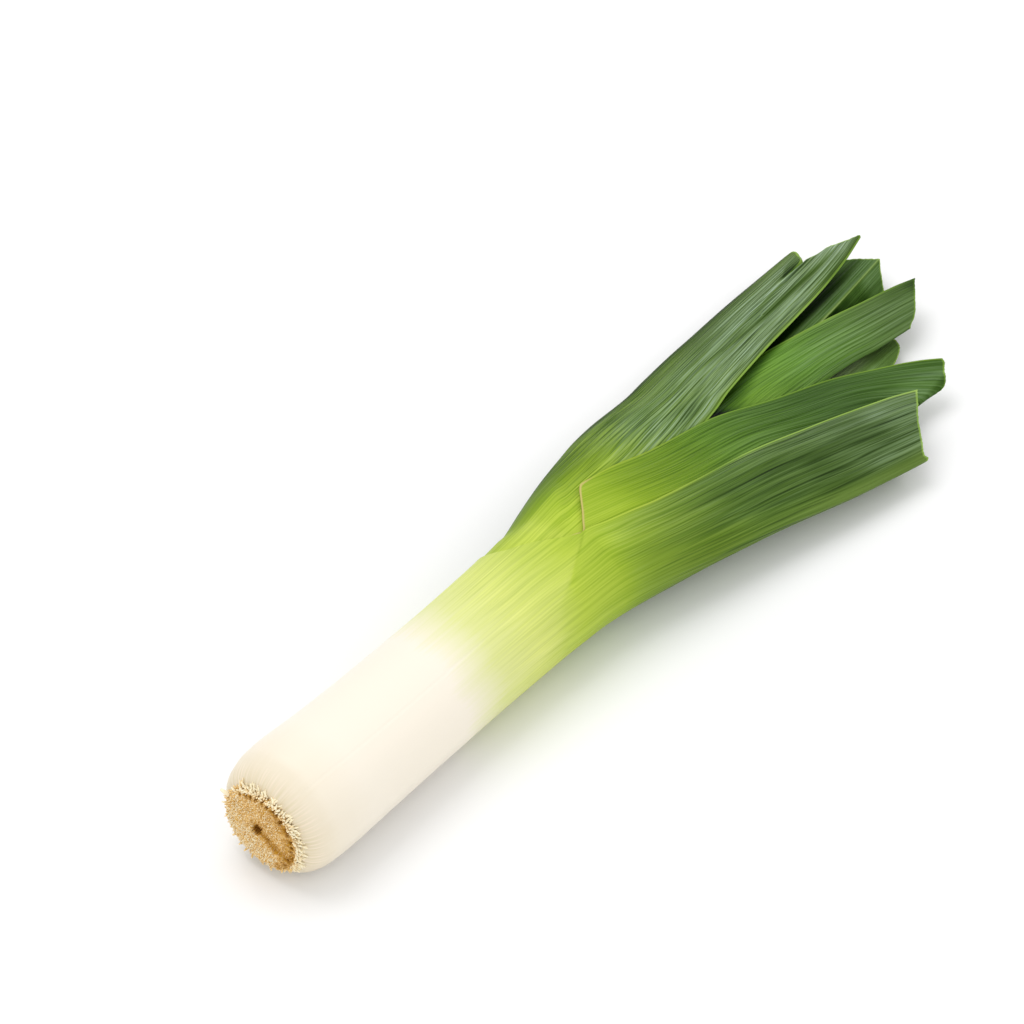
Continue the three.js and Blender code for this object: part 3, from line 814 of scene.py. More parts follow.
def build_heart(material):
    """The column of unopened leaves that fills the neck inside the three outer leaves."""
    maker = PieceMaker()
    places = np.concatenate([np.linspace(CUP_X + 0.4, 202, 34), [203.5, 204.8, 205.6]])
    shrink = np.concatenate([np.ones(34), [0.96, 0.86, 0.66]])[:, None]
    angles = np.linspace(0, 2 * math.pi, 161)[:-1]
    x = np.repeat(places[:, None], len(angles), 1)
    right = keel_line(SECOND, x) + KEEL_THICKNESS + 1.2
    left = keel_line(THIRD, x) - KEEL_THICKNESS - 1.2
    middle = (left + right) / 2
    y = middle + (left - middle) * np.cos(angles)
    high = half_height(x) - 3 * LAYER_STEP - 0.3
    folded = fold(y - right, SECOND.width(x), fold_power(x)) * fold(left - y, THIRD.width(x), fold_power(x))
    z = middle_height(x) + np.sign(np.sin(angles)) * high * folded * shrink
    y = middle + (y - middle) * lerp(1, shrink, 0.7)
    coords = np.stack(np.broadcast_arrays(x, angles / math.pi * 45 + HEART_ACROSS, 9.0), -1)
    rings = maker.add(np.stack([x, y, z], -1), coords)
    maker.bridge(rings, closed=True)
    for ring, place, y in ((rings[0], places[0], middle[0, 0]), (rings[-1], 205.8, middle[-1, 0])):
        maker.close(ring, (place, float(y), float(middle_height(place))), (place, HEART_ACROSS, 9))
    return maker.piece("heart", material)


# ---- The two leaves that have come unfolded ----
# Each is a strip through three lines along X, given as their Y and their height over the middle of the leek.
# section_power bends its section between them, and end is the X of its cut end by the share of its width.

# How deep the painted shade in the fifth leaf's left-hand fold is, along X.
fold_shade = track((320, 0.85), (345, 0.8), (360, 0.6), (370, 0.25), (380, 0.05))


def fifth_marks(x, shares):
    """The fifth leaf has painted shade in its folds and painted light at its open end. Beside its crest is a
    band of wax and painted highlight, along the crest a painted highlight tinted yellow-green, and its open
    end is waxy.
    """
    open_end, is_right = ease(361, 369, x), shares > 0.5
    lit_edge = ease(0.22, 0.0, shares) * ease(345, 372, x)
    left = -fold_shade(x) * ease(0.36, 0.27, shares) * lerp(1, 0.4, lit_edge)
    right = 0.3 * open_end - 0.3 * ease(366, 358, x) - 0.3 * ease(356, 349, x) - 0.25 * ease(347, 342, x)
    right = (right - 0.35 * ease(0.65, 0.85, shares)) * is_right
    band = ease(0.28, 0.36, shares) * (shares < 0.5)
    crest = bell(shares, 0.49, 0.02)
    wax = lerp(0.5, 0.9, ease(345, 360, x)) * band * ease(325, 345, x)
    wax = wax + 0.45 * open_end * is_right + ease(0.45, 0.3, shares) * ease(358, 376, x)
    light = left + right * (1 - crest) + lerp(0.5, 0.15, ease(334, 360, x)) * band + 0.3 * crest
    return np.stack([wax, light, 0.6 * crest], -1)


def sixth_marks(x, shares):
    """The sixth leaf is painted lighter, most where the others cover and shade it, and tinted yellow-green.
    """
    covered = ease(0.42, 0.15, shares) * ease(345, 328, x)
    return np.stack([0 * x, 0.3 + 1.3 * covered + 0.3 * ease(336, 330, x), 0.15 + 0.15 * covered], -1)


FIFTH = SimpleNamespace(
    seed=4,
    section_power=0.85,
    marks=fifth_marks,
    lines=(
        (track((206, 27), (260, 31), (320, 36), (383, 40)), track((206, 3), (300, -1.5), (383, -3.2))),
        (
            track((206, 8), (260, 12), (335, 17.6), (365, 21.2), (383, 23.6)),
            track((206, 11), (250, 6.6), (300, 4.4), (383, 4)),
        ),
        (track((206, -2), (260, 4), (320, 8.5), (383, 17)), track((206, 2), (300, -4.4), (383, -4.6))),
    ),
    end=track(
        (0, 377), (0.08, 378.8), (0.24, 380.4), (0.43, 380.8), (0.52, 380.2), (0.62, 378.6), (0.73, 377.2),
        (1, 373.5),
    ),
)
SIXTH = SimpleNamespace(
    seed=5,
    section_power=1.25,
    marks=sixth_marks,
    lines=(
        (track((206, 6), (300, 5), (352, 2)), track((206, -12), (250, -8.6), (300, -6.2), (352, -5.6))),
        (track((206, -10), (300, -9), (352, -8)), track((206, -10.3), (250, -7), (300, -5), (352, -4.2))),
        (track((206, -19), (300, -17), (352, -15)), track((206, -3), (300, -1.4), (352, -1))),
    ),
    end=track((0, 350), (0.25, 351.5), (0.5, 349), (0.8, 341), (1, 331)),
)


def build_strip(name, node, strip, sizes, material):
    maker = PieceMaker()
    rows, columns, width = 130, 121, 30
    shares = np.linspace(0, 1, columns)[None, :]
    across = (shares - 0.5) * width
    ends = strip.end(shares) + ragged(strip.seed, across, 0.09)
    x = lerp(FAN_X, ends, np.linspace(0, 1, rows)[:, None])
    shares, across = np.broadcast_to(shares, x.shape), np.broadcast_to(across, x.shape)
    (first_y, first_z), (mid_y, mid_z), (last_y, last_z) = strip.lines
    way = np.abs(2 * shares - 1)
    y = lerp(mid_y(x), np.where(shares < 0.5, first_y(x), last_y(x)), way)
    z = lerp(mid_z(x), np.where(shares < 0.5, first_z(x), last_z(x)), way**strip.section_power)
    edge = np.minimum(shares, 1 - shares) * width
    plain = np.stack([x, y, middle_height(x) + z], -1)
    up = np.array([0.0, 0, 1])
    ribs = 0.5 * sizes.rib_depth / MM * ripples(strip.seed, 5, 2.0, 4.5)(across) * ease(0, 3, edge)
    outer, inner = plain + ribs[..., None] * up, plain - blade_body(sizes, edge)[..., None] * up
    coords = np.stack([x, across + SEED_STEP * strip.seed, np.minimum(edge, ends - x)], -1)
    closed_sheet(maker, outer, inner, coords, strip.marks(x, shares))
    return maker.piece(name, material, (node,))


# ---- The root plate and its cut roots ----
# Places on the face are given as Y and height over the shank's axis, or as a radius and an angle.

ROOT_HOLE = (1.15, 0.2)
HOLE_HALF_SIZES = (2.9, 1.7)
HOLE_LEAN = (0.517, 0.856)
ROOT_DIMPLE = (-3.3, -1.5)
BACK_X = 2.3
ROOT_FURROW = ((0.4, -0.6), (-0.6, -1.6), (-2.4, -3.0), (-3.9, -4.2), (-6.6, -5.0), (-9.2, -6.6))
# Each ring of the fringe: its radius, how far back it stands, its stubs' length and their lean forward.
FRINGE_RINGS = ((14.6, 0.9, 1.1, 0.7), (15.0, 1.1, 1.5, 0.35), (15.4, 1.5, 2.0, 0.0), (15.7, 2.0, 2.6, -0.35))
# Each long root: its angle round the rim in degrees, its length and its tone, from 0 brown to 1 cream.
LONG_ROOTS = (
    (26, 3.4, 1.0), (-53, 2.3, 0.45), (-62, 2.6, 0.4), (-72, 2.7, 0.45), (-87, 2.0, 0.4), (-100, 2.1, 0.5),
    (-40, 1.8, 0.5), (8, 1.6, 0.8), (60, 1.3, 0.9), (-12, 1.3, 0.6), (-120, 1.3, 0.5), (44, 1.5, 0.9),
)

face_dome = track((0, -0.5), (9, -0.3), (13, 0.0), (14.4, 0.5), (15.2, 1.3))


def distance_to_furrow(y, z):
    """Distance of each place from the furrow, and which side of it the place is on."""
    best = np.full(np.shape(y), 99.0)
    side = np.zeros(np.shape(y))
    for (ay, az), (by, bz) in zip(ROOT_FURROW, ROOT_FURROW[1:]):
        run = (by - ay) ** 2 + (bz - az) ** 2
        t = np.clip(((y - ay) * (by - ay) + (z - az) * (bz - az)) / run, 0, 1)
        away = np.hypot(y - lerp(ay, by, t), z - lerp(az, bz, t))
        turn = np.sign((by - ay) * (z - az) - (bz - az) * (y - ay))
        side = np.where(away < best, turn, side)
        best = np.minimum(best, away)
    return best, side


def groove_depth(y, z):
    """Depth of the broken groove round the upper right of the face, inside the pale fringe."""
    turn = np.degrees(np.arctan2(z, y) - math.radians(40)) % 360
    sector = ease(0, 25, turn) * ease(210, 180, turn)
    broken = ease(-0.4, 0.3, ripples(44, 4, 8, 16)(turn))
    line = 13.7 - 0.6 * ease(70, 120, turn) + 0.35 * ripples(45, 3, 15, 40)(turn)
    return 2.3 * bell(np.hypot(y, z), line, 0.85) * sector * lerp(0.15, 1, broken)


def face_depth(y, z):
    """How far the root plate's face is sunk in, for its hole, its dimple, its furrow and its groove."""
    off_y, off_z = y - ROOT_HOLE[0], z - ROOT_HOLE[1]
    turn_y, turn_z = HOLE_LEAN
    long_way = (turn_z * off_z - turn_y * off_y) / HOLE_HALF_SIZES[0]
    short_way = (turn_z * off_y + turn_y * off_z) / HOLE_HALF_SIZES[1]
    hole = 2.3 * ease(1.15, 0.7, np.hypot(long_way, short_way) + 0.12 * np.sin(7 * y + 3 * z))
    dimple = 1.4 * bell(np.hypot(y - ROOT_DIMPLE[0], z - ROOT_DIMPLE[1]), 0, 0.8)
    away, side = distance_to_furrow(y, z)
    furrow = 0.9 * bell(away, 0, 0.55) * ease(-9.5, -7, y) + 0.6 * span(away, 0, 0.6, 1.5, 5.5) * (side < 0)
    return hole + dimple + furrow + groove_depth(y, z)


def build_root_face(material):
    """The golden face of the root plate, with its hole and furrow, closed behind."""
    maker = PieceMaker()
    radii = np.linspace(0.15, 15.2, 92)[:, None]
    angles = np.linspace(0, 2 * math.pi, 301)[None, :-1]
    y, z = radii * np.cos(angles), radii * np.sin(angles)
    grain = ripples(41, 4, 0.9, 2.2)(y + 0.3 * np.sin(2 * z))
    grain = grain * ripples(42, 4, 0.9, 2.2)(z + 0.3 * np.sin(2 * y))
    depth = np.minimum(face_depth(y, z), 2.6)
    x = np.minimum(face_dome(radii) + depth + 0.16 * grain * ease(15, 13, radii), BACK_X - 0.15)
    middle_y, middle_z = ROOT_CENTRE[0], ROOT_CENTRE[1] + AXIS_HEIGHT
    y, z = y + middle_y, z + middle_z
    front = maker.add(np.stack([x, y, z], -1), np.stack(np.broadcast_arrays(0.5, radii, depth), -1))
    maker.bridge(front, closed=True)
    maker.close(front[0], (float(x[0].mean()), middle_y, middle_z), (0.5, 0, float(face_depth(0.0, 0.0))))
    back = maker.add(np.stack([np.full_like(y[-1], BACK_X), y[-1], z[-1]], -1), (0.5, radii[-1, 0], 0))
    maker.bridge(np.stack([front[-1], back]), closed=True)
    maker.close(back, (BACK_X, middle_y, middle_z), (0.5, 0, 0))
    return maker.piece("root_face", material, ("root_plate",), sharp=70)


def add_stubs(maker, bases, directions, lengths, radii, tones, bends, sides=5):
    """Short cut roots: each a tapering round stub with its own length, lean, bend and tone."""
    count = len(bases)
    directions = unit(directions)
    helper = np.where(np.abs(directions[:, 2:]) < 0.8, np.array([[0.0, 0, 1]]), np.array([[0.0, 1, 0]]))
    first = unit(np.cross(directions, helper))
    second = np.cross(directions, first)
    turns = np.linspace(0, 2 * math.pi, sides + 1)[:-1]
    rings = []
    for share, scale in ((0.0, 1.15), (0.55, 0.95), (1.0, 0.55)):
        middle = bases + directions * (lengths * share)[:, None] + bends * share**2
        spread = np.cos(turns)[:, None] * first[:, None] + np.sin(turns)[:, None] * second[:, None]
        points = middle[:, None] + spread * (radii * scale)[:, None, None]
        radius = np.hypot(middle[:, 1], middle[:, 2] - AXIS_HEIGHT)
        coords = np.stack([tones, radius, np.full(count, share)], -1)[:, None]
        rings.append(maker.add(points, np.broadcast_to(coords, points.shape)))
    for low, high in zip(rings, rings[1:]):
        for i in range(sides):
            j = (i + 1) % sides
            maker.faces += np.stack([low[:, i], low[:, j], high[:, j], high[:, i]], -1).tolist()
    maker.faces += rings[0][:, ::-1].tolist() + rings[-1].tolist()


def add_face_stubs(maker, random, middle, count):
    """A dense pile of short stubs, darker below the furrow and pale above it, with none in the hole."""
    order = np.arange(count) + 0.5
    radius = 14.7 * np.sqrt(order / count) + random.normal(0, 0.12, count)
    angle = order * math.pi * (3 - math.sqrt(5)) + random.normal(0, 0.02, count)
    y, z = radius * np.cos(angle), radius * np.sin(angle)
    sunk = face_depth(y, z)
    away, side = distance_to_furrow(y, z)
    # Below the furrow and low on the rim the stubs are darker: partly browner roots, partly painted shade
    # where the face is sunk.
    brown = np.maximum(ease(7, 2, away) * (side < 0), ease(9.5, 12.0, radius) * ease(-3, -8, y))
    pale = ease(0.3, 2.5, away) * (side > 0) * ease(2, -3, z) + 0.5 * ease(3, 8, y)
    keep = sunk < random.uniform(0.6, 1.0, count)
    y, z, radius, sunk, brown, pale = (values[keep] for values in (y, z, radius, sunk, brown, pale))
    count = len(y)
    bases = middle + np.stack([face_dome(radius) + sunk + 0.35, y, z], -1)
    lean = random.normal(0, 0.3, (count, 3)) + np.stack([np.full(count, -1.0), 0.02 * y, 0.02 * z], -1)
    lengths = random.uniform(0.45, 0.95, count) + 0.35 * ease(11, 14.5, radius) * random.uniform(0, 1, count)
    # Stubs that stand sunk in the face are painted darker, as shade.
    tones = random.uniform(0.05, 0.9, count) - 0.6 * brown + 0.2 * pale - 0.35 * ease(0.15, 0.6, sunk)
    thick = random.uniform(0.13, 0.27, count)
    add_stubs(maker, bases, lean, lengths, thick, np.clip(tones, 0, 1), random.normal(0, 0.1, (count, 3)))


def add_fringe(maker, random, middle, count):
    """Rings of longer stubs round the rim, cream on one side. FRINGE_RINGS says where each ring stands."""
    for ring, (start, depth, reach, forward) in enumerate(FRINGE_RINGS):
        angle = 2 * math.pi * (np.arange(count) + random.uniform(-0.4, 0.4, count)) / count + ring
        cream = ease(-0.2, 0.4, np.cos(angle - math.radians(138)))
        if ring == len(FRINGE_RINGS) - 1:
            angle, cream = angle[cream > 0.3], cream[cream > 0.3]
        number = len(angle)
        outwards = np.stack([np.zeros(number), np.cos(angle), np.sin(angle)], -1)
        radius = start + random.uniform(-0.25, 0.25, number)
        bases = outwards * radius[:, None] + middle + np.array([depth, 0, 0])
        lean = outwards + np.array([-forward, 0, 0]) + random.normal(0, 0.33, (number, 3))
        lengths = random.uniform(0.55, 1.0, number) * reach * lerp(0.7, 1, cream)
        tones = np.clip(lerp(0.35, 0.75 + 0.09 * ring, cream) + random.normal(0, 0.12, number), 0, 1)
        thick = random.uniform(0.2, 0.34, number) * lerp(1, 1.3, cream)
        add_stubs(maker, bases, lean, lengths, thick, tones, random.normal(0, 0.25, (number, 3)))


def add_long_roots(maker, random, middle):
    """The few roots that stand out round the rim, of which the first is the thickest."""
    degrees, lengths, tones = np.array(LONG_ROOTS).T
    angle, count = np.radians(degrees), len(degrees)
    outwards = np.stack([np.full(count, -0.25), np.cos(angle), np.sin(angle)], -1)
    bases = outwards * np.array([0, 15.2, 15.2]) + middle + np.array([0.9, 0, 0])
    thick = np.where(np.arange(count) == 0, 0.75, 0.42)
    add_stubs(maker, bases, outwards, lengths, thick, tones, random.normal(0, 0.2, (count, 3)), sides=6)


def build_root_stubs(sizes, material):
    """The cut roots: a dense pile of short stubs on the face and a fringe of longer ones round its rim."""
    maker = PieceMaker()
    random = np.random.default_rng(7)
    middle = np.array([0.0, ROOT_CENTRE[0], ROOT_CENTRE[1] + AXIS_HEIGHT])
    add_face_stubs(maker, random, middle, sizes.stub_count)
    add_fringe(maker, random, middle, sizes.fringe_count)
    add_long_roots(maker, random, middle)
    return maker.piece("root_stubs", material, sharp=60)


# ---- Materials ----


class Wire:
    """What a node puts out. Sums with wires add the nodes that work them out."""

    def __init__(self, socket):
        self.socket = socket
        self.tree = socket.id_data

    def __add__(self, other):
        return reckon("ADD", self, other)

    def __sub__(self, other):
        return reckon("SUBTRACT", self, other)

    def __rsub__(self, other):
        return reckon("SUBTRACT", other, self)

    def __mul__(self, other):
        return reckon("MULTIPLY", self, other)

    def __truediv__(self, other):
        return reckon("DIVIDE", self, other)

    def __pow__(self, other):
        return reckon("POWER", self, other)

    def ramp(self, low, high, to_low=0.0, to_high=1.0):
        """A smooth change between two values as this one goes from low to high."""
        inputs = {"Value": self, "From Min": low, "From Max": high, "To Min": to_low, "To Max": to_high}
        return place_node(self.tree, "ShaderNodeMapRange", inputs, interpolation_type="SMOOTHSTEP")["Result"]

    def between(self, low, high):
        """A value from low to high by this share."""
        return place_node(self.tree, "ShaderNodeMix", {0: self, 2: low, 3: high}, data_type="FLOAT")[0]

    def blend(self, first, second):
        """A colour from the first to the second by this share."""
        return place_node(self.tree, "ShaderNodeMix", {0: self, 6: first, 7: second}, data_type="RGBA")[2]

    def lit(self, factor):
        """This colour made darker or lighter: the darker it is, the greener it looks."""
        factor = reckon("MAXIMUM", factor, 0.02)
        parts = {"Red": factor**1.28, "Green": factor, "Blue": factor**1.9}
        tint = place_node(self.tree, "ShaderNodeCombineColor", parts)[0]
        inputs = {0: 1.0, 6: self, 7: tint}
        return place_node(self.tree, "ShaderNodeMix", inputs, data_type="RGBA", blend_type="MULTIPLY")[2]

    def feed(self, socket):
        self.tree.links.new(self.socket, socket)


class Outputs:
    """A node's outputs as wires, by name or number."""

    def __init__(self, node):
        self.node = node

    def __getitem__(self, key):
        return Wire(self.node.outputs[key])


def place_node(tree, kind, inputs, **settings):
    """Adds a node, sets what it is told to, joins or fills its inputs and gives back its outputs."""
    node = tree.nodes.new(kind)
    for setting, value in settings.items():
        setattr(node, setting, value)
    for key, value in inputs.items():
        if isinstance(value, Wire):
            value.feed(node.inputs[key])
        elif node.inputs[key].type == "RGBA":
            node.inputs[key].default_value = (*value, 1.0)
        else:
            node.inputs[key].default_value = value
    return Outputs(node)


def reckon(operation, *values):
    tree = next(value.tree for value in values if isinstance(value, Wire))
    return place_node(tree, "ShaderNodeMath", dict(enumerate(values)), operation=operation)[0]


def streaks(across, along, across_size, along_size, seed, detail):
    """Noise drawn out along a leaf: across_size and along_size are the size of a streak in millimetres."""
    inputs = {"X": across / across_size, "Y": along / along_size, "Z": seed}
    place = place_node(across.tree, "ShaderNodeCombineXYZ", inputs)[0]
    return place_node(across.tree, "ShaderNodeTexNoise", {"Vector": place, "Scale": 1.0, "Detail": detail})[0]


def crisp_streaks(spread, *streak):
    """Streaks about a half, drawn out to run from 0 to 1 between soft limits."""
    return streaks(*streak).ramp(0.5 - spread, 0.5 + spread)


def shared_group(name, fill, inputs, outputs):
    """A node group for more than one material. fill works out its outputs from its inputs."""
    tree = bpy.data.node_groups.new(name, "ShaderNodeTree")
    for socket, default in inputs.items():
        made = tree.interface.new_socket(socket, in_out="INPUT", socket_type="NodeSocketFloat")
        made.default_value = default
    for socket in outputs:
        tree.interface.new_socket(socket, in_out="OUTPUT", socket_type="NodeSocketFloat")
    given = tree.nodes.new("NodeGroupInput").outputs
    end = tree.nodes.new("NodeGroupOutput").inputs
    for wire, socket in zip(fill(*[Wire(given[socket]) for socket in inputs]), end):
        wire.feed(socket)
    return tree


def leaf_lines(along, across, spacing):
    """What runs along a leaf: fine streaks, broader lines, dark ribs and slow changes of tone, 0 to 1."""
    fine = crisp_streaks(0.14, across, along, 0.5, 26.0, 15.0, 1.0)
    lines = crisp_streaks(0.12, across, along, 0.72, 95.0, 5.0, 1.0)
    tone = crisp_streaks(0.2, across, along, 4.5, 75.0, 12.0, 3.0)
    sway = streaks(across, along, 5.0, 60.0, 3.0, 2.0)

    def ribs(spacing, phase, sharpness, swing):
        turns = (sway * swing + (across / spacing + phase)) * math.tau
        return (reckon("COSINE", turns) * 0.5 + 0.5) ** sharpness

    gaps = streaks(across, along, 1.6, 60.0, 9.0, 2.0)
    strong = ribs(spacing, 0.3, 4.0, 1.9) * gaps.ramp(0.32, 0.52)
    faint = ribs(spacing * 0.43, 0.1, 3.0, 2.6) * gaps
    return fine, lines, reckon("MAXIMUM", strong, faint), tone


def waxy_bloom(along, across, lines, ribs):
    """The waxy bloom on a leaf, 0 to 1: fine lines and long thin streaks within soft cloudy patches."""
    haze = streaks(across, along, 3.4, 34.0, 28.0, 4.0).ramp(0.34, 0.66)
    thin = streaks(across, along, 0.5, 26.0, 21.0, 1.0).ramp(0.42, 0.6)
    drawn = thin * 0.42 + (lines * 0.48 + 0.1)
    return drawn * (haze * 0.45 + 0.48) * (ribs * -0.65 + 1.0), haze


def streaky_length(along, across, streakiness):
    """The place along the leek with streaks that run ahead or lag behind, as the green does in the skin."""
    narrow = streaks(across, along, 1.4, 90.0, 31.0, 3.0)
    wide = streaks(across, along, 11.0, 200.0, 35.0, 1.0)
    amount = streakiness * along.ramp(15.0, 60.0, 0.25, 1.0)
    return [(narrow * 1.2 + wide - 1.1) * amount + along]


GROUPS = {
    "Leaf lines": (
        leaf_lines, {"Along": 0.0, "Across": 0.0, "Rib Spacing": 3.0}, ["Fine", "Lines", "Ribs", "Tone"],
    ),
    "Waxy bloom": (waxy_bloom, {"Along": 0.0, "Across": 0.0, "Lines": 0.5, "Ribs": 0.0}, ["Wax", "Haze"]),
    "Streaky length": (streaky_length, {"Along": 0.0, "Across": 0.0, "Streakiness": 10.0}, ["Length"]),
}


def use_group(tree, name, *values):
    """Places a shared group, which is made the first time that it is used."""
    group = bpy.data.node_groups.get(name) or shared_group(name, *GROUPS[name])
    return place_node(tree, "ShaderNodeGroup", dict(enumerate(values)), node_tree=group)


def new_material(name, roughness, specular):
    material = bpy.data.materials.new(name)
    material.use_nodes = True
    shader = material.node_tree.nodes["Principled BSDF"]
    shader.inputs["Roughness"].default_value = roughness
    shader.inputs["Specular IOR Level"].default_value = specular
    return material, material.node_tree, shader.inputs


def read_layer(tree, layer):
    """The three values that a mesh carries at its points under one name."""
    attribute = place_node(tree, "ShaderNodeAttribute", {}, attribute_name=layer)
    parts = place_node(tree, "ShaderNodeSeparateXYZ", {0: attribute["Vector"]})
    return parts["X"], parts["Y"], parts["Z"]


def bump(tree, height, strength, distance):
    inputs = {"Height": height, "Strength": strength, "Distance": distance}
    return place_node(tree, "ShaderNodeBump", inputs)[0]


RAMP_REACH = 400.0  # how much of the leek a colour ramp covers, from X = 0


def colour_along(tree, length, stops, colours):
    """The skin's colour by place. A stop is a place and a colour, or two colours and a share."""
    factor = place_node(tree, "ShaderNodeMapRange", {"Value": length, "From Max": RAMP_REACH})[0]
    node = tree.nodes.new("ShaderNodeValToRGB")
    factor.feed(node.inputs[0])
    elements = node.color_ramp.elements
    while len(elements) < len(stops):
        elements.new(1.0)
    for element, (place, first, *mixed) in zip(elements, stops):
        colour = np.array(getattr(colours, first))
        if mixed:
            colour = lerp(colour, np.array(getattr(colours, mixed[0])), mixed[1])
        element.position = place / RAMP_REACH
        element.color = (*colour.tolist(), 1.0)
    return Wire(node.outputs[0])


def leaf_material(
    scene, name, stops, wax=0.6, ribs=0.3, rib_scale=1.0, grain=0.3, lines=0.2, tone=0.2, margin=0.8,
    streakiness=5.0, specular=0.09, full_blade=250.0, fineness=1.0,
):
    """Leaf skin: its colour along the leek, then streaks, dark ribs, waxy bloom, tints and a light
    margin, and last the painted light and shade that its marks carry.
    """
    sizes, colours = scene.leek_sizes, scene.leek_colours
    material, tree, shader = new_material(name, 0.45, specular)
    along, across, edge = read_layer(tree, "leaf_coords")
    waxy, lighter, tint = read_layer(tree, "leaf_marks_and_painted_light")
    length = use_group(tree, "Streaky length", along, across, streakiness)["Length"]
    skin = colour_along(tree, length, stops, colours)

    drawn_out = across * fineness
    drawn = use_group(tree, "Leaf lines", along, drawn_out, sizes.rib_spacing / MM * rib_scale)
    greened = length.ramp(86.0, 112.0)
    bladed = along.ramp(156.0, full_blade)
    strength = greened * (bladed * 0.8 + 0.2)
    shade = (drawn["Fine"] - 0.5) * grain + (drawn["Lines"] - 0.5) * lines
    shade = shade + (drawn["Tone"] - 0.5) * tone - drawn["Ribs"] * ribs
    skin = skin.lit(shade * strength + 1.0)
    veined = drawn["Lines"] * (greened * (1.0 - bladed)) * sizes.vein_strength
    skin = veined.blend(skin, colours.vein)

    bloom = use_group(tree, "Waxy bloom", along, drawn_out, drawn["Lines"], drawn["Ribs"])
    skin = (bloom["Wax"] * waxy * wax).blend(skin, colours.wax)
    skin = tint.blend(skin, colours.keel)
    skin = (tint * -1.0).blend(skin, colours.dried)
    margin_width = sizes.margin_width / MM
    # The light margin: the leaf's paler edge, with painted light where the thin edge catches it.
    rim = edge.ramp(margin_width * 1.5, margin_width * 0.5) * greened * margin * tint.ramp(-0.6, -0.2)
    skin = rim.blend(skin, along.ramp(190.0, 245.0).blend(colours.neck, colours.margin))
    # Painted light and shade from the marks go over everything else.
    skin.lit(lighter + 1.0).feed(shader["Base Color"])

    greened.between(0.3, bloom["Haze"] * 0.14 + 0.38).feed(shader["Roughness"])
    height = (drawn["Fine"] * 0.5 + (drawn["Lines"] * 0.5 - drawn["Ribs"])) * strength
    bump(tree, height, 0.8, 0.00014).feed(shader["Normal"])
    return material


def object_noise(tree, scale, detail):
    """Even noise that stays with the object. scale is in waves to a metre."""
    place = place_node(tree, "ShaderNodeTexCoord", {})["Object"]
    return place_node(tree, "ShaderNodeTexNoise", {"Vector": place, "Scale": scale, "Detail": detail})[0]


def root_material(name, colours, fringe):
    """Cut roots: golden tan with paler tips. The pits are darker, partly dark brown and partly painted
    shade, and the stubs have painted shade at their foot.
    """
    material, tree, shader = new_material(name, 0.85, 0.05)
    tone, _, height = read_layer(tree, "leaf_coords")
    speckle = object_noise(tree, 1400.0, 3.0)
    cream = speckle.ramp(0.4, 0.7, 0.0, 0.35)
    if fringe:
        skin = tone.ramp(0.35, 0.95).blend(colours.root_tan, colours.root_cream)
        # Painted shade at the foot of each stub, among its crowded neighbours.
        foot = height.ramp(0.75, 0.0) * tone.ramp(1.0, 0.5, 0.25, 1.0)
        skin = foot.blend(skin, colours.root_brown)
        skin = tone.ramp(0.35, 0.0, 0.0, 0.85).blend(skin, colours.root_brown)
    else:
        patch = object_noise(tree, 220.0, 2.0)
        skin = patch.ramp(0.3, 0.6, 0.4, 1.0).blend(colours.root_tan, colours.root_brown)
        # Deeper in the hole, furrow and groove the face turns dark: their dark brown, deepened as painted
        # shade.
        skin = height.ramp(0.3, 1.4).blend(skin, colours.root_dark)
        cream = cream * height.ramp(0.5, 0.1)
    cream.blend(skin, colours.root_cream).feed(shader["Base Color"])
    bump(tree, speckle, 0.5, 0.0003).feed(shader["Normal"])
    return material


def floor_material(colour):
    material, tree, shader = new_material("Pale floor", 0.9, 0.2)
    cloud = object_noise(tree, 3.0, 2.0)
    cloud.blend(colour, [0.985 * value for value in colour]).feed(shader["Base Color"])
    return material


# ---- What a user can change ----


def colour_property(name, description, default):
    return bpy.props.FloatVectorProperty(
        name=name, description=description, default=default, size=3, min=0, max=1, subtype="COLOR"
    )


def length_property(name, description, default):
    return bpy.props.FloatProperty(
        name=name, description=description, default=default, min=0, precision=5, subtype="DISTANCE",
        unit="LENGTH",
    )


def count_property(name, description, default):
    return bpy.props.IntProperty(name=name, description=description, default=default, min=10)


def power_property(name, description, default):
    return bpy.props.FloatProperty(name=name, description=description, default=default, min=0, unit="POWER")


def share_property(name, description, default):
    return bpy.props.FloatProperty(
        name=name, description=description, default=default, min=0, max=1, subtype="FACTOR"
    )


class LeekSizes(bpy.types.PropertyGroup):
    """Sizes of the leek's small features."""

    blade_thickness: length_property("Leaf thickness", "How thick a leaf is away from its margins", 0.0008)
    rib_depth: length_property("Rib depth", "Height of the broad ribs along a leaf", 0.00011)
    rib_spacing: length_property("Rib spacing", "Distance between the dark ribs of a leaf", 0.0030)
    vein_strength: share_property("Vein strength", "How clearly pale veins show in the shank's skin", 0.14)
    margin_width: length_property("Margin width", "Width of the light margin round a leaf", 0.0007)
    pleat_depth: length_property("Pleat depth", "Depth of the pleats round the shoulder", 0.00014)
    pleat_count: count_property("Pleats", "Number of pleats round the shoulder", 74)
    stub_count: count_property("Face stubs", "Number of cut roots on the face", 2700)
    fringe_count: count_property("Fringe stubs", "Cut roots in each ring of the fringe", 120)


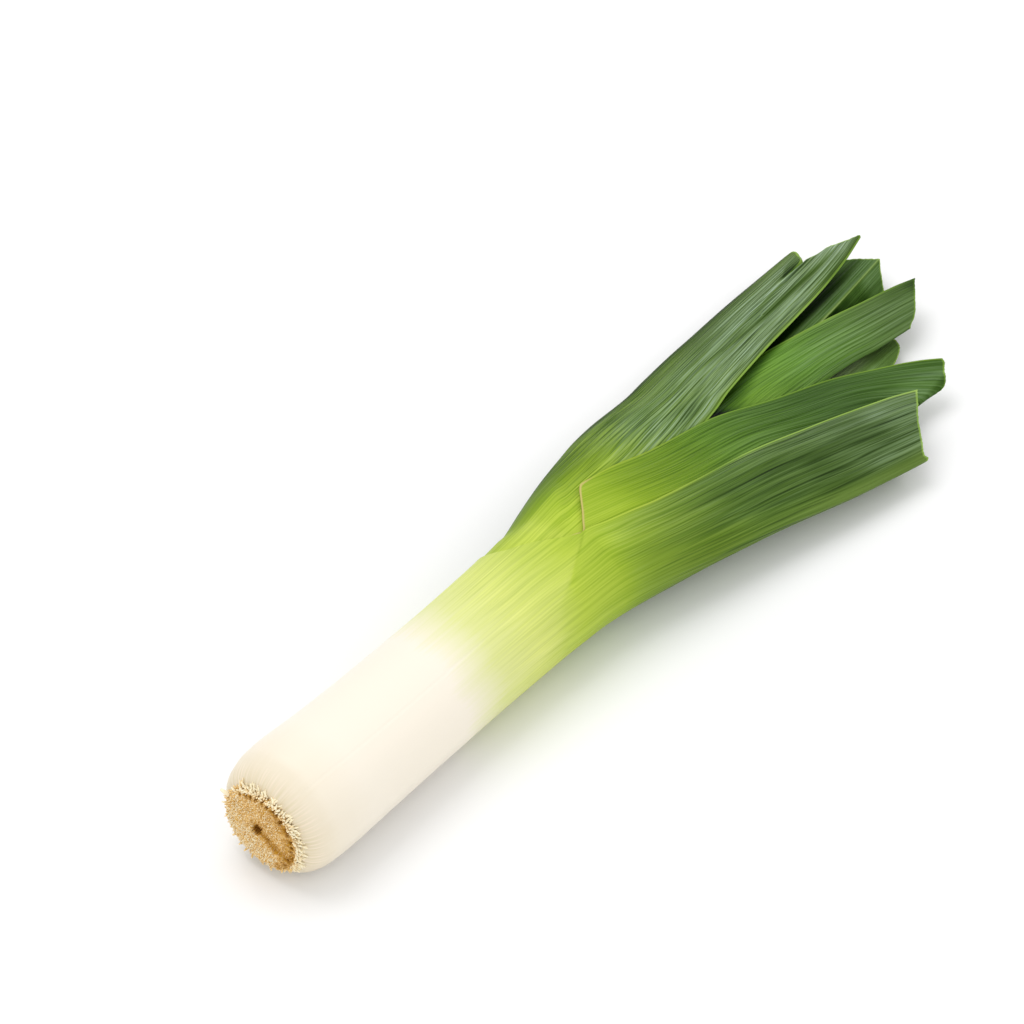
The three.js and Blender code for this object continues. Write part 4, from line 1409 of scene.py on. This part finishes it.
class LeekColours(bpy.types.PropertyGroup):
    """Colours of the leek's skin, leaves and roots."""

    ivory: colour_property("Shank ivory", "The white of the shank", (0.81, 0.75, 0.645))
    shoulder: colour_property("Shoulder cream", "The creamy shoulder next to the roots", (0.715, 0.63, 0.47))
    pale: colour_property("Pale yellow-green", "Where the shank begins to turn green", (0.60, 0.65, 0.19))
    neck: colour_property("Neck green", "The yellow-green of the neck", (0.38, 0.49, 0.051))
    fresh: colour_property("Fresh green", "The base of the leaves", (0.242, 0.365, 0.020))
    outer_mid: colour_property("Outer leaf, middle", "The middle of the outermost leaf", (0.095, 0.17, 0.021))
    outer_far: colour_property("Outer leaf, end", "The far end of the outermost leaf", (0.056, 0.105, 0.018))
    second_mid: colour_property("Second leaf, middle", "The middle of the second leaf", (0.092, 0.188, 0.018))
    second_far: colour_property("Second leaf, end", "The far end of the second leaf", (0.046, 0.106, 0.013))
    third_mid: colour_property("Third leaf, middle", "The middle of the third leaf", (0.096, 0.172, 0.017))
    third_far: colour_property("Third leaf, end", "The far end of the third leaf", (0.066, 0.120, 0.018))
    fourth_mid: colour_property("Fourth leaf, middle", "The fourth leaf's near part", (0.105, 0.23, 0.021))
    fourth_far: colour_property("Fourth leaf, end", "The far end of the fourth leaf", (0.07, 0.13, 0.024))
    inner: colour_property("Inner leaves", "The fifth and sixth leaves", (0.056, 0.118, 0.022))
    wax: colour_property("Bloom", "The whitish wax on the leaves", (0.27, 0.385, 0.225))
    vein: colour_property("Pale veins", "The fine veins in the skin", (0.66, 0.74, 0.12))
    keel: colour_property("Keel green", "The yellow-green of the outermost keel", (0.15, 0.24, 0.04))
    margin: colour_property("Leaf margin", "The light edge of a leaf", (0.19, 0.32, 0.045))
    dried: colour_property("Dried edge", "The dry edge at the base of the second leaf", (0.50, 0.43, 0.14))
    root_tan: colour_property("Root tan", "The cut roots", (0.84, 0.585, 0.235))
    # Root brown is the brown of the roots and also the painted shade at the foot of the fringe stubs.
    root_brown: colour_property("Root brown", "The shaded foot of the roots", (0.50, 0.25, 0.020))
    # Root dark is the dark brown of the hole and gaps, deepened with their depth as painted shade.
    root_dark: colour_property("Root dark", "The hole and the gaps in the root plate", (0.30, 0.13, 0.018))
    root_cream: colour_property("Root cream", "The pale fringe and the tips of the roots", (0.90, 0.82, 0.60))


class LeekStage(bpy.types.PropertyGroup):
    """The floor and the lights."""

    floor: colour_property("Floor", "The pale floor", (0.86, 0.86, 0.86))
    key_power: power_property("Key light", "Power of the large soft light", 6.9)
    fill_power: power_property("Fill light", "Power of the weak light from the front", 2.7)
    root_power: power_property("Root light", "Power of the weak light at the root end", 1.2)
    end_power: power_property("End light", "Power of the weak light at the leaf ends", 1.6)
    key_size: length_property("Key light size", "Width of the large soft light", 0.9)
    fill_size: length_property("Fill light size", "Width of each weak light", 1.4)
    sky_strength: share_property("Sky", "Strength of the even light all round", 0.88)


# ---- Operators ----


class LEEK_OT_root_plate(bpy.types.Operator):
    """Builds the root plate: its face with the hole and furrow, and the cut roots on it and round it"""

    bl_idname = "leek.root_plate"
    bl_label = "Root plate"

    def execute(self, context):
        sizes, colours = context.scene.leek_sizes, context.scene.leek_colours
        build_root_face(root_material("Root face", colours, False))
        build_root_stubs(sizes, root_material("Cut roots", colours, True))
        return {"FINISHED"}


class LEEK_OT_outer_leaf(bpy.types.Operator):
    """Builds the white shank's outer sheath with the blade of the outermost leaf"""

    bl_idname = "leek.outer_leaf"
    bl_label = "Outer leaf and shank"

    def execute(self, context):
        stops = (
            (4, "shoulder"), (12, "shoulder", "ivory", 0.65), (28, "ivory"), (76, "ivory"),
            (96, "ivory", "pale", 0.8), (114, "pale"), (133, "pale", "neck", 0.7), (148, "neck"),
            (172, "fresh", "neck", 0.12), (200, "fresh", "outer_mid", 0.65), (230, "outer_mid"),
            (285, "outer_far"),
        )
        skin = leaf_material(
            context.scene, "Outer leaf skin", stops, wax=0.42, ribs=0.45, grain=0.32, streakiness=12.0
        )
        build_outer_leaf(context.scene.leek_sizes, skin)
        return {"FINISHED"}


class LEEK_OT_heart(bpy.types.Operator):
    """Builds the column of unopened leaves inside the neck"""

    bl_idname = "leek.heart"
    bl_label = "Heart"

    def execute(self, context):
        stops = ((140, "pale"), (180, "neck"), (215, "fresh"))
        build_heart(leaf_material(context.scene, "Heart leaf skin", stops))
        return {"FINISHED"}


class LEEK_OT_folded_leaves(bpy.types.Operator):
    """Builds the second, third and fourth leaves, which are folded along a keel"""

    bl_idname = "leek.folded_leaves"
    bl_label = "Folded leaves"

    def execute(self, context):
        scene = context.scene
        second = leaf_material(
            scene, "Second leaf skin",
            (
                (156, "neck", "fresh", 0.6), (184, "fresh"), (206, "fresh", "second_mid", 0.6),
                (236, "second_mid"), (282, "second_far"),
            ),
            wax=0.3, ribs=0.2, rib_scale=0.62, grain=0.38, lines=0.24, specular=0.04,
        )
        third = leaf_material(
            scene, "Third leaf skin",
            (
                (149, "pale", "neck", 0.9), (155, "neck", "fresh", 0.5), (164, "neck", "fresh", 0.95),
                (175, "fresh", "third_mid", 0.28), (195, "fresh", "third_mid", 0.5), (226, "third_mid"),
                (300, "third_far"),
            ),
            wax=0.9, ribs=0.22, rib_scale=0.6, grain=0.72, tone=0.08, lines=0.42, full_blade=230.0,
            fineness=1.3, specular=0.03,
        )
        fourth = leaf_material(
            scene, "Fourth leaf skin",
            ((232, "fresh", "fourth_mid", 0.6), (305, "fourth_mid"), (350, "fourth_far")),
            wax=0.5, ribs=0.14, rib_scale=0.8, grain=0.36, lines=0.18,
        )
        build_folded_leaf("second_leaf", "leaf_2", SECOND, scene.leek_sizes, second)
        build_folded_leaf("third_leaf", "leaf_3", THIRD, scene.leek_sizes, third, third_neck_lift)
        build_folded_leaf("fourth_leaf", "leaf_4", FOURTH, scene.leek_sizes, fourth)
        return {"FINISHED"}


class LEEK_OT_open_leaves(bpy.types.Operator):
    """Builds the fifth and sixth leaves, which have come unfolded deep in the fan"""

    bl_idname = "leek.open_leaves"
    bl_label = "Open leaves"

    def execute(self, context):
        stops = ((230, "fourth_mid", "inner", 0.5), (330, "inner"))
        skin = leaf_material(context.scene, "Inner leaf skin", stops, wax=0.25, ribs=0.15, specular=0.01)
        build_strip("fifth_leaf", "leaf_5", FIFTH, context.scene.leek_sizes, skin)
        build_strip("sixth_leaf", "leaf_6", SIXTH, context.scene.leek_sizes, skin)
        return {"FINISHED"}


# The stage is in metres. Only the lens and CAMERA_AIM, the place on the floor that the camera looks at, are
# in millimetres. The floor lies a little below the leek, so that no two faces share a plane.
FLOOR_REACH = 3
FLOOR_HEIGHT = -0.0001
CAMERA_AIM = (184.075, 49.45)
CAMERA_AZIMUTH = math.radians(-50.5)
CAMERA_ELEVATION = math.radians(42)
CAMERA_DISTANCE = 1.086954
LENS_LENGTH, SENSOR_WIDTH = 105, 36


def place_lamp(scene, name, size, power, location):
    """A square soft light that points at the leek."""
    light = bpy.data.lights.new(name, "AREA")
    light.shape, light.size, light.energy = "SQUARE", size, power
    lamp = bpy.data.objects.new(name, light)
    lamp.location = location
    lamp.rotation_euler = (-lamp.location).to_track_quat("-Z", "Y").to_euler()
    scene.collection.objects.link(lamp)


class LEEK_OT_stage(bpy.types.Operator):
    """Makes the pale floor, the soft lights and the camera"""

    bl_idname = "leek.stage"
    bl_label = "Floor, lights and camera"

    def execute(self, context):
        stage, scene = context.scene.leek_stage, context.scene
        mesh = bpy.data.meshes.new("floor")
        sides = ((-1, -1), (1, -1), (1, 1), (-1, 1))
        corners = [(FLOOR_REACH * x, FLOOR_REACH * y, FLOOR_HEIGHT) for x, y in sides]
        mesh.from_pydata(corners, [], [(0, 1, 2, 3)])
        mesh.materials.append(floor_material(stage.floor))
        floor = bpy.data.objects.new("floor", mesh)
        scene.collection.objects.link(floor)

        place_lamp(scene, "key light", stage.key_size, stage.key_power, (-0.08, 0.45, 1.28))
        place_lamp(scene, "fill light", stage.fill_size, stage.fill_power, (-0.4, -1.05, 0.5))
        place_lamp(scene, "end light", stage.fill_size, stage.end_power, (1.1, -0.35, 0.55))
        place_lamp(scene, "root light", stage.fill_size, stage.root_power, (-0.95, -0.3, 0.6))

        world = bpy.data.worlds.new("studio")
        world.use_nodes = True
        sky = world.node_tree.nodes["Background"].inputs
        sky["Color"].default_value = (1, 1, 1, 1)
        sky["Strength"].default_value = stage.sky_strength
        scene.world = world
        scene.view_settings.view_transform = "Standard"
        scene.view_settings.look = "None"

        lens = bpy.data.cameras.new("camera")
        lens.lens, lens.sensor_width = LENS_LENGTH, SENSOR_WIDTH
        camera = bpy.data.objects.new("camera", lens)
        level = math.cos(CAMERA_ELEVATION)
        across, towards = math.sin(CAMERA_AZIMUTH) * level, -math.cos(CAMERA_AZIMUTH) * level
        back = Vector((across, towards, math.sin(CAMERA_ELEVATION)))
        aim = Vector((*((CAMERA_AIM + BUILD_SHIFT[:2]) * MM), 0))
        camera.location = aim + CAMERA_DISTANCE * back
        camera.rotation_euler = (-back).to_track_quat("-Z", "Y").to_euler()
        scene.collection.objects.link(camera)
        scene.camera = camera
        return {"FINISHED"}


class LEEK_PT_builder(bpy.types.Panel):
    """Sizes, colours and builders of the leek"""

    bl_label = "Leek"
    bl_space_type = "VIEW_3D"
    bl_region_type = "UI"
    bl_category = "Leek"

    def draw(self, context):
        for group in (context.scene.leek_sizes, context.scene.leek_colours, context.scene.leek_stage):
            box = self.layout.box()
            for name in group.__annotations__:
                box.prop(group, name)
        for operator in OPERATORS:
            self.layout.operator(operator.bl_idname)


OPERATORS = (
    LEEK_OT_root_plate, LEEK_OT_outer_leaf, LEEK_OT_heart, LEEK_OT_folded_leaves, LEEK_OT_open_leaves,
    LEEK_OT_stage,
)
CLASSES = (LeekSizes, LeekColours, LeekStage, *OPERATORS, LEEK_PT_builder)


def register():
    for item in CLASSES:
        bpy.utils.register_class(item)
    bpy.types.Scene.leek_sizes = bpy.props.PointerProperty(type=LeekSizes)
    bpy.types.Scene.leek_colours = bpy.props.PointerProperty(type=LeekColours)
    bpy.types.Scene.leek_stage = bpy.props.PointerProperty(type=LeekStage)


def unregister():
    del bpy.types.Scene.leek_stage
    del bpy.types.Scene.leek_colours
    del bpy.types.Scene.leek_sizes
    for item in reversed(CLASSES):
        bpy.utils.unregister_class(item)


def main():
    register()
    bpy.ops.leek.root_plate()
    bpy.ops.leek.outer_leaf()
    bpy.ops.leek.heart()
    bpy.ops.leek.folded_leaves()
    bpy.ops.leek.open_leaves()
    bpy.ops.leek.stage()


if __name__ == "__main__":
    main()
